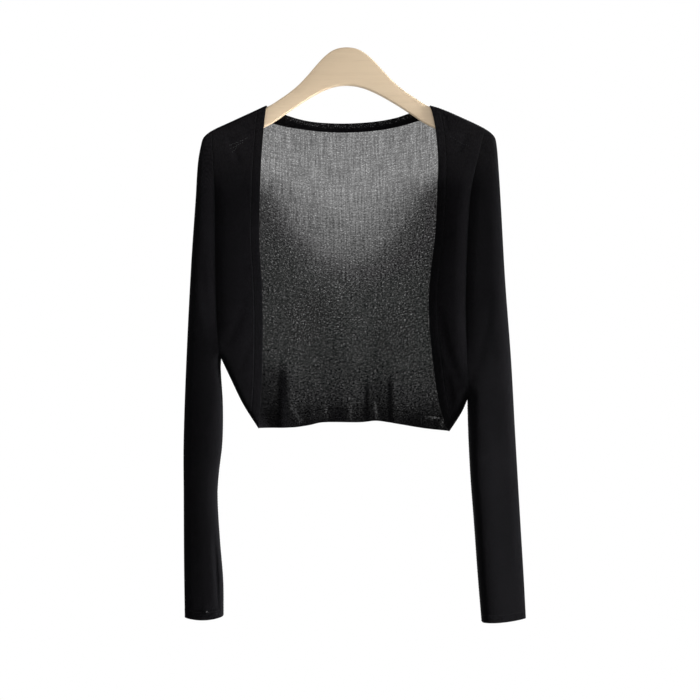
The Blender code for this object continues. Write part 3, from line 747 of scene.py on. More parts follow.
def cloth(name, columns, cut, wall, surface, edge_round=0.0, through=None):
    """A thin shell of cloth on columns of points, thickened inwards, with its cut as a UV map."""
    bm = bmesh.new()
    lay_grid(bm, columns)
    cut_map = bm.loops.layers.uv.new(CUT_MAP)
    places = list(chain.from_iterable(zip(*cut)))
    bm.verts.index_update()
    for face in bm.faces:
        for loop in face.loops:
            loop[cut_map].uv = places[loop.vert.index]
    if through:
        layer = bm.verts.layers.float.new("through")
        for vert in bm.verts:
            vert[layer] = through(vert.co.x / MM, -vert.co.z / MM)
    bmesh.ops.remove_doubles(bm, verts=bm.verts, dist=MERGE)
    made = add_object(name, bm, surface)
    thicken = made.modifiers.new("wall", "SOLIDIFY")
    thicken.thickness = wall
    thicken.offset = -1
    if edge_round:
        rounded = made.modifiers.new("folded edge", "BEVEL")
        rounded.width = edge_round
        rounded.segments = EDGE_SEGMENTS
        rounded.limit_method = "ANGLE"
        rounded.angle_limit = math.radians(EDGE_ANGLE)
    return made


def finish_piece(made, slot, *nodes):
    """Attaches a piece to the body that it moves with, and hides the solids that it stands for; the slot is
    not used.
    """
    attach(made, BODY)
    if nodes:
        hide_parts(*nodes)


def stitch(bm, place, along, size):
    """One small oval stitch that lies along a direction."""
    turned = along.to_track_quat("X", "Y").to_matrix().to_4x4()
    matrix = Matrix.Translation(place) @ turned @ Matrix.Diagonal((*(side * MM / 2 for side in size), 1.0))
    bmesh.ops.create_uvsphere(
        bm, u_segments=STITCH_SEGMENTS, v_segments=STITCH_RINGS, radius=1.0, matrix=matrix
    )


def chain_stitches(bm, path, pitch, width):
    """A row of linked stitches along a path in metres: a cord that swells at each and leans both ways."""
    line = Line(path)
    count = max(2, round(line.length / pitch))
    rings = []
    side = Vector(CORD_SIDE)
    for i in range(count * RINGS_TO_A_STITCH + 1):
        reached = i / RINGS_TO_A_STITCH
        here = line.at(reached * line.length / count)
        along = line.at(min(reached + 0.5, count) * line.length / count)
        along = (along - line.at(max(reached - 0.5, 0) * line.length / count)).normalized()
        side = (side - along * side.dot(along)).normalized()
        up = along.cross(side)
        swell = abs(math.sin(math.pi * reached))
        radius = width / 2 * (STITCH_WAIST + (1 - STITCH_WAIST) * swell)
        lean = width * STITCH_LEAN * math.sin(math.pi * reached)
        turns = (math.tau * turn / CORD_SIDES for turn in range(CORD_SIDES + 1))
        rings.append(
            [here + (up * math.cos(at) + side * math.sin(at)) * radius + up * lean for at in turns]
        )
    lay_grid(bm, rings)


# ---------------------------------------------------------------------------------------------------------
# Materials
# ---------------------------------------------------------------------------------------------------------

STITCH_SLANT = 0.8  # how far each leg of a stitch's V runs down its neighbour
YARN_SHADED, YARN_LIT = 0.5, 1.9  # the darkest and lightest of the knit's yarn, as shares of its colour
TWIST_SHADED, TWIST_LIT = 0.6, 1.4  # and of the sewing yarn
PORE_SHADED = 0.55
# Painted highlights: pale specks along the upper edge of the band behind the neck.
PAINTED_SPECK_COLOUR = (0.3, 0.3, 0.31, 1.0)
PAINTED_SPECKS_BETWEEN = (-0.0072, -0.0048)  # metres down the band behind the neck over which its painted highlights, pale specks, go from none to all
# Painted light: the plain knit is drawn paler towards its top, over the shoulders and the sleeve heads.
PAINTED_TOP_LIGHT_COLOUR = (0.0130, 0.0122, 0.0132, 1.0)
PAINTED_TOP_LIGHT_BETWEEN = (-0.180, -0.112)  # heights in metres of the painted light on the shoulders and sleeve heads, from where there is none to where it is full

LEG_RISE = (0.2, 1.0)  # how high a leg of a stitch stands, from its lowest place to its highest
RELIEF_PAINTED_SHADE = (0.55, 1.1)  # painted shade between stitches and painted highlight on top of them: how bright the yarn is drawn there
RELIEF_OPEN = (1.2, 0.85)  # how open the sheer knitting is there, as shares of what it lets through

# The sheer knitting is more uneven where it is denser: from which density to which, as one over its open
# share, and how uneven it is at either.
DENSITIES = (2.4, 10.0)
UNEVENNESS = (0.29, 1.6)

# The wood is rougher in its pores: between which depths of a pore, and how rough it is at either.
PORE_DEPTHS = (0.4, 0.7)
PORE_ROUGHNESS = (0.42, 0.6)

# Patterns of noise: how each is stretched, how fine it is, its detail and its roughness, and which range of
# its values is moved to which other range.
Pattern = namedtuple("Pattern", "stretch scale detail roughness given wanted")
CLOUDS = Pattern(None, 22.0, 3.0, 0.5, (0.3, 0.7), (-0.12, 0.12))
FIBRES = Pattern((1.0, 1.0, 0.6), 620.0, 2.0, 0.7, (0.35, 0.65), (0.2, 0.8))
# the pale specks painted as highlights on the band behind the neck
PAINTED_SPECKS = Pattern(None, 700.0, 1.0, 0.4, (0.56, 0.72), (0.0, 0.34))
SHEER_GRAIN = Pattern((0.8, 1.15, 1.0), 500.0, 1.0, 0.6, (0.25, 0.75), (-0.9, 0.9))
SHEER_POINTS = Pattern((1.0, 1.2, 1.0), 640.0, 0.0, 0.5, (0.6, 0.8), (0.0, 1.6))
SHEER_STREAKS = Pattern((1.0, 0.06, 1.0), 520.0, 1.0, 0.5, (0.3, 0.7), (0.84, 1.16))
SHEER_ROWS = Pattern((0.09, 1.0, 1.0), 420.0, 1.0, 0.5, (0.3, 0.7), (0.90, 1.10))
WOOD_WAVES = Pattern((0.5, 1.0, 1.0), 14.0, 2.0, 0.5, (0.35, 0.65), (0.0, 0.5))
WOOD_GRAIN = Pattern((0.05, 1.0, 1.0), 260.0, 5.0, 0.62, (0.35, 0.68), (0.0, 0.45))
WOOD_PORES = Pattern((0.035, 1.0, 1.0), 900.0, 2.0, 0.5, (0.60, 0.72), (0.0, 0.14))
TWIST = Pattern(None, 1500.0, 2.0, 0.5, None, None)


def feed(tree, fed, inputs):
    """Feeds a node's inputs: a value is set on the socket, an output is linked to it."""
    for key, value in inputs.items():
        if isinstance(value, bpy.types.NodeSocket):
            tree.links.new(value, fed.inputs[key])
        else:
            fed.inputs[key].default_value = value


def node(tree, kind, inputs=None, **settings):
    made = tree.nodes.new(kind)
    for key, value in settings.items():
        setattr(made, key, value)
    feed(tree, made, inputs or {})
    return made


def maths(tree, operation, first, second=0.0):
    return node(tree, "ShaderNodeMath", {0: first, 1: second}, operation=operation).outputs[0]


def noise(tree, where, pattern):
    if pattern.stretch:
        mapping = node(tree, "ShaderNodeMapping", {"Vector": where, "Scale": pattern.stretch})
        where = mapping.outputs["Vector"]
    inputs = {"Vector": where, "Scale": pattern.scale, "Detail": pattern.detail}
    return node(tree, "ShaderNodeTexNoise", {**inputs, "Roughness": pattern.roughness}).outputs["Fac"]


def remap(tree, value, given, wanted):
    """A value moved from one range to another, and kept within it."""
    inputs = {"Value": value, "From Min": given[0], "From Max": given[1]}
    inputs |= {"To Min": wanted[0], "To Max": wanted[1]}
    return node(tree, "ShaderNodeMapRange", inputs).outputs["Result"]


def moved_noise(tree, where, pattern):
    """A pattern of noise, moved to the range that is wanted of it."""
    return remap(tree, noise(tree, where, pattern), pattern.given, pattern.wanted)


def blend_colour(tree, share, first, second):
    return node(tree, "ShaderNodeMix", {"Factor": share, 6: first, 7: second}, data_type="RGBA").outputs[2]


def add_bump(tree, shader, height, strength, distance):
    bump = node(tree, "ShaderNodeBump", {"Height": height, "Strength": strength, "Distance": distance})
    feed(tree, shader, {"Normal": bump.outputs["Normal"]})


def tinted(colour, share=1.0):
    """A colour made darker or lighter, with its alpha."""
    return [min(channel * share, 1.0) for channel in colour[:3]] + [1.0]


def stitch_relief(tree, cut, wale, course):
    """The relief of plain knitting: columns of stitches, each a V of two slanting legs."""
    split = node(tree, "ShaderNodeSeparateXYZ", {"Vector": cut})
    column = maths(tree, "FRACT", maths(tree, "DIVIDE", split.outputs["X"], wale))
    row = maths(tree, "DIVIDE", split.outputs["Y"], course)
    off_middle = maths(tree, "ABSOLUTE", maths(tree, "SUBTRACT", column, 0.5))
    leg = maths(tree, "SINE", maths(tree, "MULTIPLY", off_middle, math.tau))
    slanted = maths(tree, "ADD", row, maths(tree, "MULTIPLY", off_middle, STITCH_SLANT))
    loop = maths(tree, "COSINE", maths(tree, "MULTIPLY", slanted, math.tau))
    return maths(tree, "MULTIPLY", leg, remap(tree, loop, (-1.0, 1.0), LEG_RISE))


def new_material(name):
    made = bpy.data.materials.new(name)
    made.use_nodes = True
    return made, made.node_tree, made.node_tree.nodes["Principled BSDF"]


def knit_material(name, colour, with_painted_specks=False, sheer=False):
    """Fine plain knitting in a matt, slightly hairy yarn, with painted shade between its stitches: with
    painted highlights as pale specks along its upper edge, or sheer, or else with painted light towards its
    top.
    """
    settings = bpy.context.scene.cardigan_cloth
    made, tree, shader = new_material(name)
    where = node(tree, "ShaderNodeTexCoord").outputs["Object"]
    cut = node(tree, "ShaderNodeUVMap", uv_map=CUT_MAP).outputs["UV"]
    relief = stitch_relief(tree, cut, settings.wale, settings.course)
    tone = maths(tree, "ADD", moved_noise(tree, where, CLOUDS), moved_noise(tree, where, FIBRES))
    # painted shade between the stitches and painted highlight on their tops
    tone = maths(tree, "MULTIPLY", tone, remap(tree, relief, (0.0, 1.0), RELIEF_PAINTED_SHADE))
    shade = blend_colour(tree, tone, tinted(colour, YARN_SHADED), tinted(colour, YARN_LIT))
    if with_painted_specks:
        # painted highlights: pale specks along the band's upper edge
        height = node(tree, "ShaderNodeSeparateXYZ", {"Vector": cut}).outputs["Y"]
        highlight_specks = remap(tree, height, PAINTED_SPECKS_BETWEEN, (0.0, 1.0))
        highlight_specks = maths(tree, "MULTIPLY", moved_noise(tree, cut, PAINTED_SPECKS), highlight_specks)
        shade = blend_colour(tree, highlight_specks, shade, PAINTED_SPECK_COLOUR)
    elif not sheer:
        # painted light: paler towards the top, over the shoulders and the sleeve heads
        height = node(tree, "ShaderNodeSeparateXYZ", {"Vector": where}).outputs["Z"]
        painted_top_light = maths(tree, "MULTIPLY", remap(tree, height, PAINTED_TOP_LIGHT_BETWEEN, (0.0, 1.0)), tone)
        shade = blend_colour(tree, painted_top_light, shade, PAINTED_TOP_LIGHT_COLOUR)
    add_bump(tree, shader, relief, strength=0.5, distance=0.0004)
    feed(tree, shader, {
        "Base Color": shade, "Roughness": 0.85, "Specular IOR Level": 0.02, "Sheen Weight": settings.sheen,
        "Sheen Roughness": 0.45, "Sheen Tint": (0.86, 0.82, 1.0, 1.0),
    })
    if sheer:
        feed(tree, shader, {"Alpha": sheer_alpha(tree, cut, relief)})
    return made


def sheer_alpha(tree, cut, relief):
    """How much of the sheer knitting is yarn: less between stitches, and uneven from one to the next."""
    open_share = node(tree, "ShaderNodeAttribute", attribute_name="through").outputs["Fac"]
    rough = remap(tree, maths(tree, "DIVIDE", 1.0, open_share), DENSITIES, UNEVENNESS)
    uneven = maths(tree, "ADD", moved_noise(tree, cut, SHEER_GRAIN), moved_noise(tree, cut, SHEER_POINTS))
    uneven = maths(tree, "MULTIPLY", uneven, rough)
    uneven = maths(tree, "ADD", uneven, moved_noise(tree, cut, SHEER_STREAKS))
    uneven = maths(tree, "MULTIPLY", uneven, moved_noise(tree, cut, SHEER_ROWS))
    uneven = maths(tree, "MULTIPLY", uneven, remap(tree, relief, (0.0, 1.0), RELIEF_OPEN))
    passed = maths(tree, "MULTIPLY", open_share, uneven)
    yarn = node(tree, "ShaderNodeMath", {0: 1.0, 1: passed}, operation="SUBTRACT", use_clamp=True)
    return yarn.outputs[0]


def wood_material():
    """Pale close-grained wood, smoothly sanded under a thin satin coat."""
    settings = bpy.context.scene.cardigan_hanger
    made, tree, shader = new_material("pale_wood")
    where = node(tree, "ShaderNodeTexCoord").outputs["Object"]
    grain, pores = noise(tree, where, WOOD_GRAIN), noise(tree, where, WOOD_PORES)
    share = remap(tree, grain, WOOD_GRAIN.given, WOOD_GRAIN.wanted)
    share = maths(tree, "ADD", share, moved_noise(tree, where, WOOD_WAVES))
    plain = blend_colour(tree, share, tinted(settings.wood_colour), tinted(settings.grain_colour))
    dark = remap(tree, pores, WOOD_PORES.given, WOOD_PORES.wanted)
    add_bump(tree, shader, grain, strength=0.12, distance=0.0004)
    feed(tree, shader, {
        "Base Color": blend_colour(tree, dark, plain, tinted(settings.grain_colour, PORE_SHADED)),
        "Roughness": remap(tree, pores, PORE_DEPTHS, PORE_ROUGHNESS), "Specular IOR Level": 0.35,
        "Coat Weight": 0.12, "Coat Roughness": 0.35,
    })
    return made


def yarn_material(name, colour):
    """Plain twisted yarn."""
    made, tree, shader = new_material(name)
    where = node(tree, "ShaderNodeTexCoord").outputs["Object"]
    twist = noise(tree, where, TWIST)
    shade = blend_colour(tree, twist, tinted(colour, TWIST_SHADED), tinted(colour, TWIST_LIT))
    add_bump(tree, shader, twist, strength=0.3, distance=0.0002)
    feed(tree, shader, {"Base Color": shade, "Roughness": 0.8, "Specular IOR Level": 0.08})
    return made


def surface(name):
    """The material of this name, made when it is first asked for."""
    if name in bpy.data.materials:
        return bpy.data.materials[name]
    settings = bpy.context.scene.cardigan_cloth
    makers = {
        "fine_black_knit": lambda: knit_material(name, settings.knit_colour),
        "doubled_black_knit": lambda: knit_material(name, settings.knit_colour),
        "highlight_specked_knit": lambda: knit_material(name, settings.knit_colour, with_painted_specks=True),
        "sheer_black_knit": lambda: knit_material(name, settings.sheer_colour, sheer=True),
        "linking_yarn": lambda: yarn_material(name, settings.yarn_colour),
        "fashioning_yarn": lambda: yarn_material(name, settings.mark_colour),
        "pale_wood": wood_material,
    }
    return makers[name]()


# ---------------------------------------------------------------------------------------------------------
# The pieces
# ---------------------------------------------------------------------------------------------------------

# Each piece of cloth, by the solid that it stands for: its slot, its material, what it was cut to in metres
# (width, length and the share of that rectangle that the cut fills), how it is held, and on what it rests.
Piece = namedtuple("Piece", "slot material width length share held rests_on")
PIECES = {
    "front_right": Piece("knit", "fine_black_knit", 0.057, 0.395, 0.86, "hung", ["knit_hanger"]),
    "front_left": Piece("knit", "fine_black_knit", 0.060, 0.400, 0.60, "hung", ["knit_hanger"]),
    "sleeve_right": Piece("knit", "fine_black_knit", 0.190, 0.615, 0.66, "hung", ["knit_hanger"]),
    "sleeve_left": Piece("knit", "fine_black_knit", 0.215, 0.620, 0.66, "hung", ["knit_hanger"]),
    "back": Piece("sheer_knit", "sheer_black_knit", 0.350, 0.400, 0.86, "gathered", ["knit_hanger"]),
    "band_right": Piece(
        "band_knit", "doubled_black_knit", 0.0115, 0.415, 1.0, "hung", ["knit_hanger", "knit_front_right"]
    ),
    "band_left": Piece(
        "band_knit", "doubled_black_knit", 0.0115, 0.415, 1.0, "hung", ["knit_hanger", "knit_front_left"]
    ),
    "band_neck": Piece(
        "band_knit", "highlight_specked_knit", 0.0115, 0.250, 1.0, "hung", ["knit_hanger", "knit_back"]
    ),
    "band_hem": Piece("band_knit", "sheer_black_knit", 0.300, 0.018, 1.0, "gathered", ["knit_back"]),
}


def make_piece(solid, columns, cut, edge=0.0, through=None):
    """A piece of cloth on columns of points: of single knit, or doubled if its edges are rounded."""
    piece, settings = PIECES[solid], bpy.context.scene.cardigan_cloth
    wall = settings.band_wall if edge else settings.wall
    made = cloth(f"knit_{solid}", columns, cut, wall, surface(piece.material), edge * wall, through)
    finish_piece(made, piece.slot, solid)
    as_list(piece.rests_on)


def facing_out(side, columns):
    """The columns of a front in the order in which the faces laid on them look outwards."""
    return columns if side == "left" else columns[::-1]


def front_panel(side):
    outline, seam, armhole = OUTLINE_LINE[side], SEAM_LINE[side], ARMHOLE_LINE[side]
    armhole_top, on_ridge, to_band, band_outer = side_lines(side)
    top = outline.stretch(armhole_top - BUTT, on_ridge + BUTT)
    bottom = seam.stretch(BUTT, to_band - BUTT)
    beside_sleeve = armhole.moved(-BUTT).ended(top.points[0], bottom.points[0])
    beside_band = band_outer.moved(BUTT).ended(top.points[-1], bottom.points[-1])

    def place(point, _):
        return front_point(side, point, seams=(armhole,))

    columns = patch_columns(place, (top, bottom, beside_sleeve, beside_band), even(FRONT_STEPS))
    columns = facing_out(side, columns)
    make_piece(f"front_{side}", columns, panel_cut(columns))


def front_band(side):
    outline, seam = OUTLINE_LINE[side], SEAM_LINE[side]
    _, on_ridge, to_band, band_outer = side_lines(side)
    top, bottom = outline.stretch(on_ridge, 0.0), seam.stretch(to_band, seam.length)

    def place(point, share):
        return front_point(side, point, raised=BAND_CROWN * arch(share))

    columns = patch_columns(place, (top, bottom, band_outer, EDGE_LINE[side]), even(BAND_STEPS))
    columns = facing_out(side, columns)
    make_piece(f"band_{side}", columns, panel_cut(columns), FRONT_BAND_EDGE)


def back_edges():
    """The patches of the back below each shoulder and between them, each by its four edges."""
    below_neck, above_hem = neck_lines()[1].moved(drop=BUTT), hem_lines()[0].moved(drop=-BUTT)
    corners = {"right": above_hem.points[0], "left": above_hem.points[-1]}
    patches, inner = {}, {}
    for side in SIGN:
        armhole_top, on_ridge, *_ = side_lines(side)
        seam = SEAM_LINE[side]
        top = OUTLINE_LINE[side].stretch(armhole_top - BUTT, on_ridge + BUTT).on_side(side)
        bottom = seam.stretch(BUTT, seam.length_to(1, corners[side].y)).on_side(side)
        armhole = ARMHOLE_LINE[side].moved(-BUTT).on_side(side).ended(top.points[0], bottom.points[0])
        inner[side] = Line([top.points[-1].lerp(bottom.points[-1], share) for share in even(CURVE_STEPS)])
        patches[side] = (top, bottom, armhole, inner[side])
    right, left = inner["right"].points, inner["left"].points
    middle = (below_neck.ended(right[0], left[0]), above_hem.ended(right[-1], left[-1]), *inner.values())
    return patches, middle


def sheerness(across, drop):
    """The share of the light that one wall of the back lets through."""
    sideways = SIDES_SOONER * ((across - SIDES_MIDDLE) / SIDES_AT) ** 2
    sideways *= ramp(drop, *SIDES_RISE)
    sideways *= 1 - ramp(drop, *SIDES_FADE)
    both = from_table(THROUGH, drop + sideways)
    side = "right" if across < 0 else "left"
    beside = EDGE_LINE[side].at(EDGE_LINE[side].length_to(1, drop)).x
    both += (SHOULDER_THROUGH - both) * ease((abs(across) - beside - BAND_WIDTH / 2) / BAND_WIDTH)
    columns = sum(column.share * bell(across - column.across, column.half_width) for column in COLUMNS)
    both *= 1 + ramp(drop, *COLUMNS_RISE) * columns
    for pleat in PLEATS:
        deep = ease((drop - pleat.starts) / PLEATS_DEEPEN)
        both *= 1 - pleat.share * deep * plateau(across - pleat.across, pleat.half_width * (1 + deep) / 2)
    point = Vector((across, drop))
    both += sum(
        slit.share * bell(distance_to(point, slit.start, slit.end), slit.half_width) for slit in SLITS
    )
    return math.sqrt(max(both, 0.0))


def back_panel():
    patches, middle_edges = back_edges()
    seams = [neck_lines()[1], hem_lines()[0], *(ARMHOLE_LINE[side].on_side(side) for side in SIGN)]

    def place(point, _):
        return back_point(point.x, point.y, seams=seams)

    columns = {side: patch_columns(place, edges, even(SHOULDER_STEPS)) for side, edges in patches.items()}
    above_hem = middle_edges[1]
    middle = patch_columns(place, middle_edges, end_rounded(above_hem, SIDE_ROUND, BACK_STEPS))
    columns = [*columns["right"], *middle[1:-1], *reversed(columns["left"])]
    make_piece("back", columns, panel_cut(columns), through=sheerness)


def back_band(solid, edges, ends_round, steps, through=None):
    """A band along the neck or the hem behind."""
    def place(point, _):
        return back_point(point.x, point.y, raised=BAND_PROUD)

    columns = patch_columns(place, edges, end_rounded(edges[0], ends_round, steps), BAND_STEPS)
    make_piece(solid, columns, panel_cut(columns), BAND_EDGE, through)


def round_places(steps):
    """Shares of the way across a round tube that are evenly spaced round it."""
    return [(1 - math.cos(math.pi * share)) / 2 for share in even(steps)]


def shares_between(spots):
    """Each spot's share of the way from the first to the last."""
    run = spots[-1] - spots[0]
    return [(spot - spots[0]).dot(run) / run.length_squared for spot in spots]


def ring(side, spots, depths, faces, row=SLEEVE_ROWS[0]):
    """One closed ring round a sleeve, from its outer fold over the front to the inner fold and back behind.

    The depths and the faces say how far its back and its front stand out at each of its spots.
    """
    front, behind = [], []
    sag = CUFF_SAG[side] * row.share**CUFF_SAG_POWER
    for spot, depth, face, share in zip(spots, depths, faces, shares_between(spots)):
        across = SIGN[side] * spot.x
        lean = row.forward + row.turned * (1 - 2 * share)
        drop = spot.y + sag * (1 - (1 - 2 * share) ** 2)
        flat = 1 - bell(depth, SLEEVE_RELIEF_REACH)
        sunk = sunk_seam(side, "sleeve", spot)
        ahead = face + flat * (creased(f"sleeve_{side}_front", across, spot.y) - sunk)
        back = depth + flat * creased(f"sleeve_{side}_back", across, spot.y)
        front.append(Vector((across, -ahead - lean, -drop)) * MM)
        behind.append(Vector((across, back - lean, -drop)) * MM)
    return front + behind[-2::-1]


def fan_ring(side, share):
    """A ring of the upper sleeve, from the outline to the underarm, and its spots and depths."""
    outline, inner, armhole = OUTLINE_LINE[side], INNER_LINE[side], ARMHOLE_LINE[side]
    start = outline.length_to(0, ARMHOLE[side][0].across)
    inner_end = inner.at(UNDERARM_SPREAD * share)
    end = outline.length_to(1, inner.at(UNDERARM_SPREAD).y)
    outer_end = outline.at(start + (end - start) * share)
    bowed = max(0.0, 1 - share / BOWED_SHARE) ** 2
    length = (inner_end - outer_end).length
    hanging = spread(length, from_table(TURNS, outer_end.y), SIDE_ROUND, SLEEVE_AROUND)
    spots = []
    for place, level in zip(hanging, round_places(len(hanging) - 1)):
        along = place / length + share**2 * (level - place / length)
        bow = armhole.at(along * armhole.length) - armhole.points[0].lerp(armhole.points[-1], along)
        spots.append(outer_end.lerp(inner_end, along) + bowed * bow)
    depths, faces = hung_depths(side, spots, share), hung_depths(side, spots, share, FRONT_FLATNESS[side])
    taken = FACE_MIDWAY * ramp(share, FACE_FROM, 1)
    flat_faces = [flattened(side, place, max(depths)) for place in shares_between(spots)]
    faces = [face + taken * (flat - face) for face, flat in zip(faces, flat_faces)]
    if not share:
        for row in (depths, faces):
            row[:] = [depth - SEAM_DIP * (1 - bell(depth, RELIEF_REACH)) for depth in row]
    return ring(side, spots, depths, faces)


def hung_depths(side, spots, share, power=2):
    """How far a ring of the upper sleeve stands from the middle plane at each of its spots."""
    depths = []
    for spot in spots:
        full = from_table(FULLNESS, spot.y)
        if spot.y > SLEEVE_FULLNESS[0].drop:
            full += share * (from_table(SLEEVE_FULLNESS, spot.y) - full)
        depths.append(turned_depth(full, side, spot, INNER_LINE[side], power))
    depths[0] = depths[-1] = 0.0
    return depths


def tube_ring(side, share, raised=0.0):
    """A ring of the hanging sleeve, level from its outer to its inner fold."""
    outline, inner = OUTLINE_LINE[side], INNER_LINE[side]
    top = inner.at(UNDERARM_SPREAD).y
    outer_end = outline.at(outline.length_to(1, top + (outline.points[-1].y - top) * share))
    inner_end = inner.at(inner.length_to(1, top + (inner.points[-1].y - top) * share))
    spots = [outer_end.lerp(inner_end, place) for place in round_places(SLEEVE_AROUND + 2 * ROUND_STEPS)]
    row = SleeveRow(share, *(from_table(SLEEVE_ROWS, share, column) for column in (1, 2, 3)))
    hung, hung_faces = hung_depths(side, spots, 1.0), hung_depths(side, spots, 1.0, FRONT_FLATNESS[side])
    tube = ease(share / TUBE_SHARE)
    taken = FACE_MIDWAY + (1 - FACE_MIDWAY) * ease(share / FACE_SHARE)
    depths, faces = [], []
    for place, depth, face in zip(shares_between(spots), hung, hung_faces):
        rounded = (row.half_depth + raised) * arch(place)
        depths.append(depth + tube * (rounded - depth))
        faces.append(face + taken * (flattened(side, place, row.half_depth + raised) - face))
    return ring(side, spots, depths, faces, row)


def flattened(side, place, depth):
    """How deep a hanging sleeve's front face is, at a share of the way from its outer to its inner fold."""
    crest = CRESTS[side]
    inwards = place > crest.place
    away = (place - crest.place) / (1 - crest.place) if inwards else 1 - place / crest.place
    turning = away**2 / (2 * CREST_ROUND) if away < CREST_ROUND else away - CREST_ROUND / 2
    fall = (crest.to_inner if inwards else crest.to_outer) * turning / (1 - CREST_ROUND / 2)
    return (depth - fall) * arch(place, SLEEVE_FLATNESS)


def cuff_share(side, above_wrist):
    """The share of the way from underarm to wrist that lies this far above the wrist."""
    inner = INNER_LINE[side]
    return 1 - above_wrist / (inner.points[-1].y - inner.at(UNDERARM_SPREAD).y)


def sleeve_rings(side):
    fan = [fan_ring(side, share**FAN_CROWDING) for share in even(FAN_STEPS)]
    hem_top = cuff_share(side, CUFF_HEM_HEIGHT)
    tube = [tube_ring(side, hem_top * share) for share in even(TUBE_STEPS)[1:]]
    steps = even(CUFF_STEPS)[1:]
    cuff = [tube_ring(side, hem_top + (1 - hem_top) * share, CUFF_HEM_RISE) for share in steps]
    return fan + tube + cuff


def sleeve(side):
    rings = sleeve_rings(side)
    if side == "left":
        rings = [points[::-1] for points in rings]
    make_piece(f"sleeve_{side}", rings, sleeve_cut(rings))


def seam_paths(side):
    """The linked seams of one half, as paths in metres on the cloth's outer face."""
    def on_middle_plane(line):
        return [Vector((SIGN[side] * point.x, 0.0, -point.y)) * MM for point in line.points]

    armhole_top, _, _, band_outer = side_lines(side)
    armhole = ARMHOLE_LINE[side].stretch(ARMHOLE_CORD_FROM, ARMHOLE_LINE[side].length).points
    under = on_middle_plane(SEAM_LINE[side])
    sunk = Vector((0.0, CORD_SUNK, 0.0)) * MM
    rings = [tube_ring(side, share) for share in even(SLEEVE_SEAM_RINGS)]
    return (
        on_middle_plane(OUTLINE_LINE[side].stretch(0.0, armhole_top)),
        [front_point(side, point) + sunk for point in armhole],
        [back_point(SIGN[side] * point.x, point.y) - sunk for point in armhole],
        under,
        [front_point(side, point) + sunk * BAND_SEAM_DEEPER for point in band_outer.points],
        [under[0], *(points[len(points) // 2] for points in rings)],
    )


def linked(name, slot, rows):
    """Rows of linking stitches as one piece, each by its path and the width of its stitches."""
    bm = bmesh.new()
    for path, width in rows:
        chain_stitches(bm, path, bpy.context.scene.cardigan_stitches.pitch, width)
    bmesh.ops.remove_doubles(bm, verts=bm.verts, dist=MERGE)
    finish_piece(add_object(name, bm, surface("linking_yarn")), slot)


def linked_seams(side):
    """All linking stitches of one half, with those round the wrist, where its hem is linked down."""
    settings = bpy.context.scene.cardigan_stitches
    wrist = tube_ring(side, cuff_share(side, CUFF_HEM_HEIGHT))
    seams = [(path, settings.width) for path in seam_paths(side)]
    linked(f"linking_{side}", "knit", [*seams, (wrist, settings.hem_width)])


def linked_bands():
    """The linking stitches below the neck band, on the inside, and above the hem band, on the outside."""
    width = bpy.context.scene.cardigan_stitches.width
    half_wall = Vector((0.0, bpy.context.scene.cardigan_cloth.wall / 2, 0.0))
    rows = []
    for line, lifted in ((neck_lines()[1], -half_wall), (hem_lines()[0], half_wall)):
        rows.append(([back_point(point.x, point.y) + lifted for point in line.points], width))
    linked("linking_bands", "band_knit", rows)


def fashioning_marks():
    """The short slanting rows of fashioning stitches near the shoulders."""
    bm = bmesh.new()
    scatter = random.Random(MARK_SEED)
    for mark in MARKS:
        start, end = Vector(mark.start), Vector(mark.end)
        for share in even(mark.stitches - 1):
            off = Vector([scatter.uniform(-MARK_SCATTER, MARK_SCATTER) for _ in range(2)])
            place = front_point(mark.side, start.lerp(end, share) + off, raised=mark.proud)
            along = Vector((SIGN[mark.side], 0.0, scatter.uniform(*MARK_STEEPNESS)))
            stitch(bm, place, along, MARK_SIZE)
    finish_piece(add_object("fashioning_stitches", bm, surface("fashioning_yarn")), "knit")


def cuff_tack():
    """The loose thread end at the right wrist."""
    bm = bmesh.new()
    above_wrist = SLEEVE_INNER["right"][-1].drop - CUFF_TACK.drop
    points = tube_ring("right", cuff_share("right", above_wrist), CUFF_HEM_RISE)
    front = points[: len(points) // 2]
    place = min(front, key=lambda point: abs(point.x / MM + CUFF_TACK.across))
    stitch(bm, place - Vector((0.0, TACK_PROUD, 0.0)) * MM, Vector(TACK_ALONG), TACK_SIZE)
    finish_piece(add_object("cuff_thread", bm, surface("fashioning_yarn")), "knit")


def hanger_edges(side):
    """The hanger's upper and lower edge on one side, from its middle to its tip."""
    outline = OUTLINE_LINE[side]
    top = [Vector(spot) for spot in HANGER_TOP]
    for length in RIDGE_RESTS:
        here = outline.at(length)
        along = (outline.at(length + RIDGE_STEP) - here).normalized()
        top.append(here + HANGER_SEAT * Vector((-along.y, along.x)))
    rise = Vector((0, HANGER_TIP_HEIGHT / 2))
    tip = Vector(HANGER_TIP)
    return smooth_line([*top, tip - rise]), smooth_line([*HANGER_UNDERSIDE, tip + rise])


def hanger_section(side, upper, lower, thickness, edge_round):
    """A rounded rectangle between two opposite points, as thick as the wood and thinner at the tip."""
    height = (lower - upper).length
    from_tip = HANGER_TIP.across - (upper.x + lower.x) / 2
    thinned = (thickness - HANGER_TIP_THICKNESS) * (1 - quarter_round(from_tip / HANGER_TIP_ROUND))
    half = (thickness - thinned) / 2
    edge = min(edge_round, HANGER_END_SHARE * height, HANGER_EDGE_SHARE * half)
    middle, up = (upper + lower) / 2, (upper - lower).normalized()
    points = []
    for corner, (out, rise) in enumerate(((1, 1), (-1, 1), (-1, -1), (1, -1))):
        for share in even(HANGER_CORNER_STEPS):
            angle = math.pi / 2 * (corner + share)
            along = rise * (height / 2 - edge) + edge * math.sin(angle)
            at = middle + up * along
            across = SIGN[side] * at.x + HANGER_ASIDE * (1 - ease(at.x / HANGER_ASIDE_REACH))
            points.append(Vector((across, out * (half - edge) + edge * math.cos(angle), -at.y)) * MM)
    return [*points, points[0]]


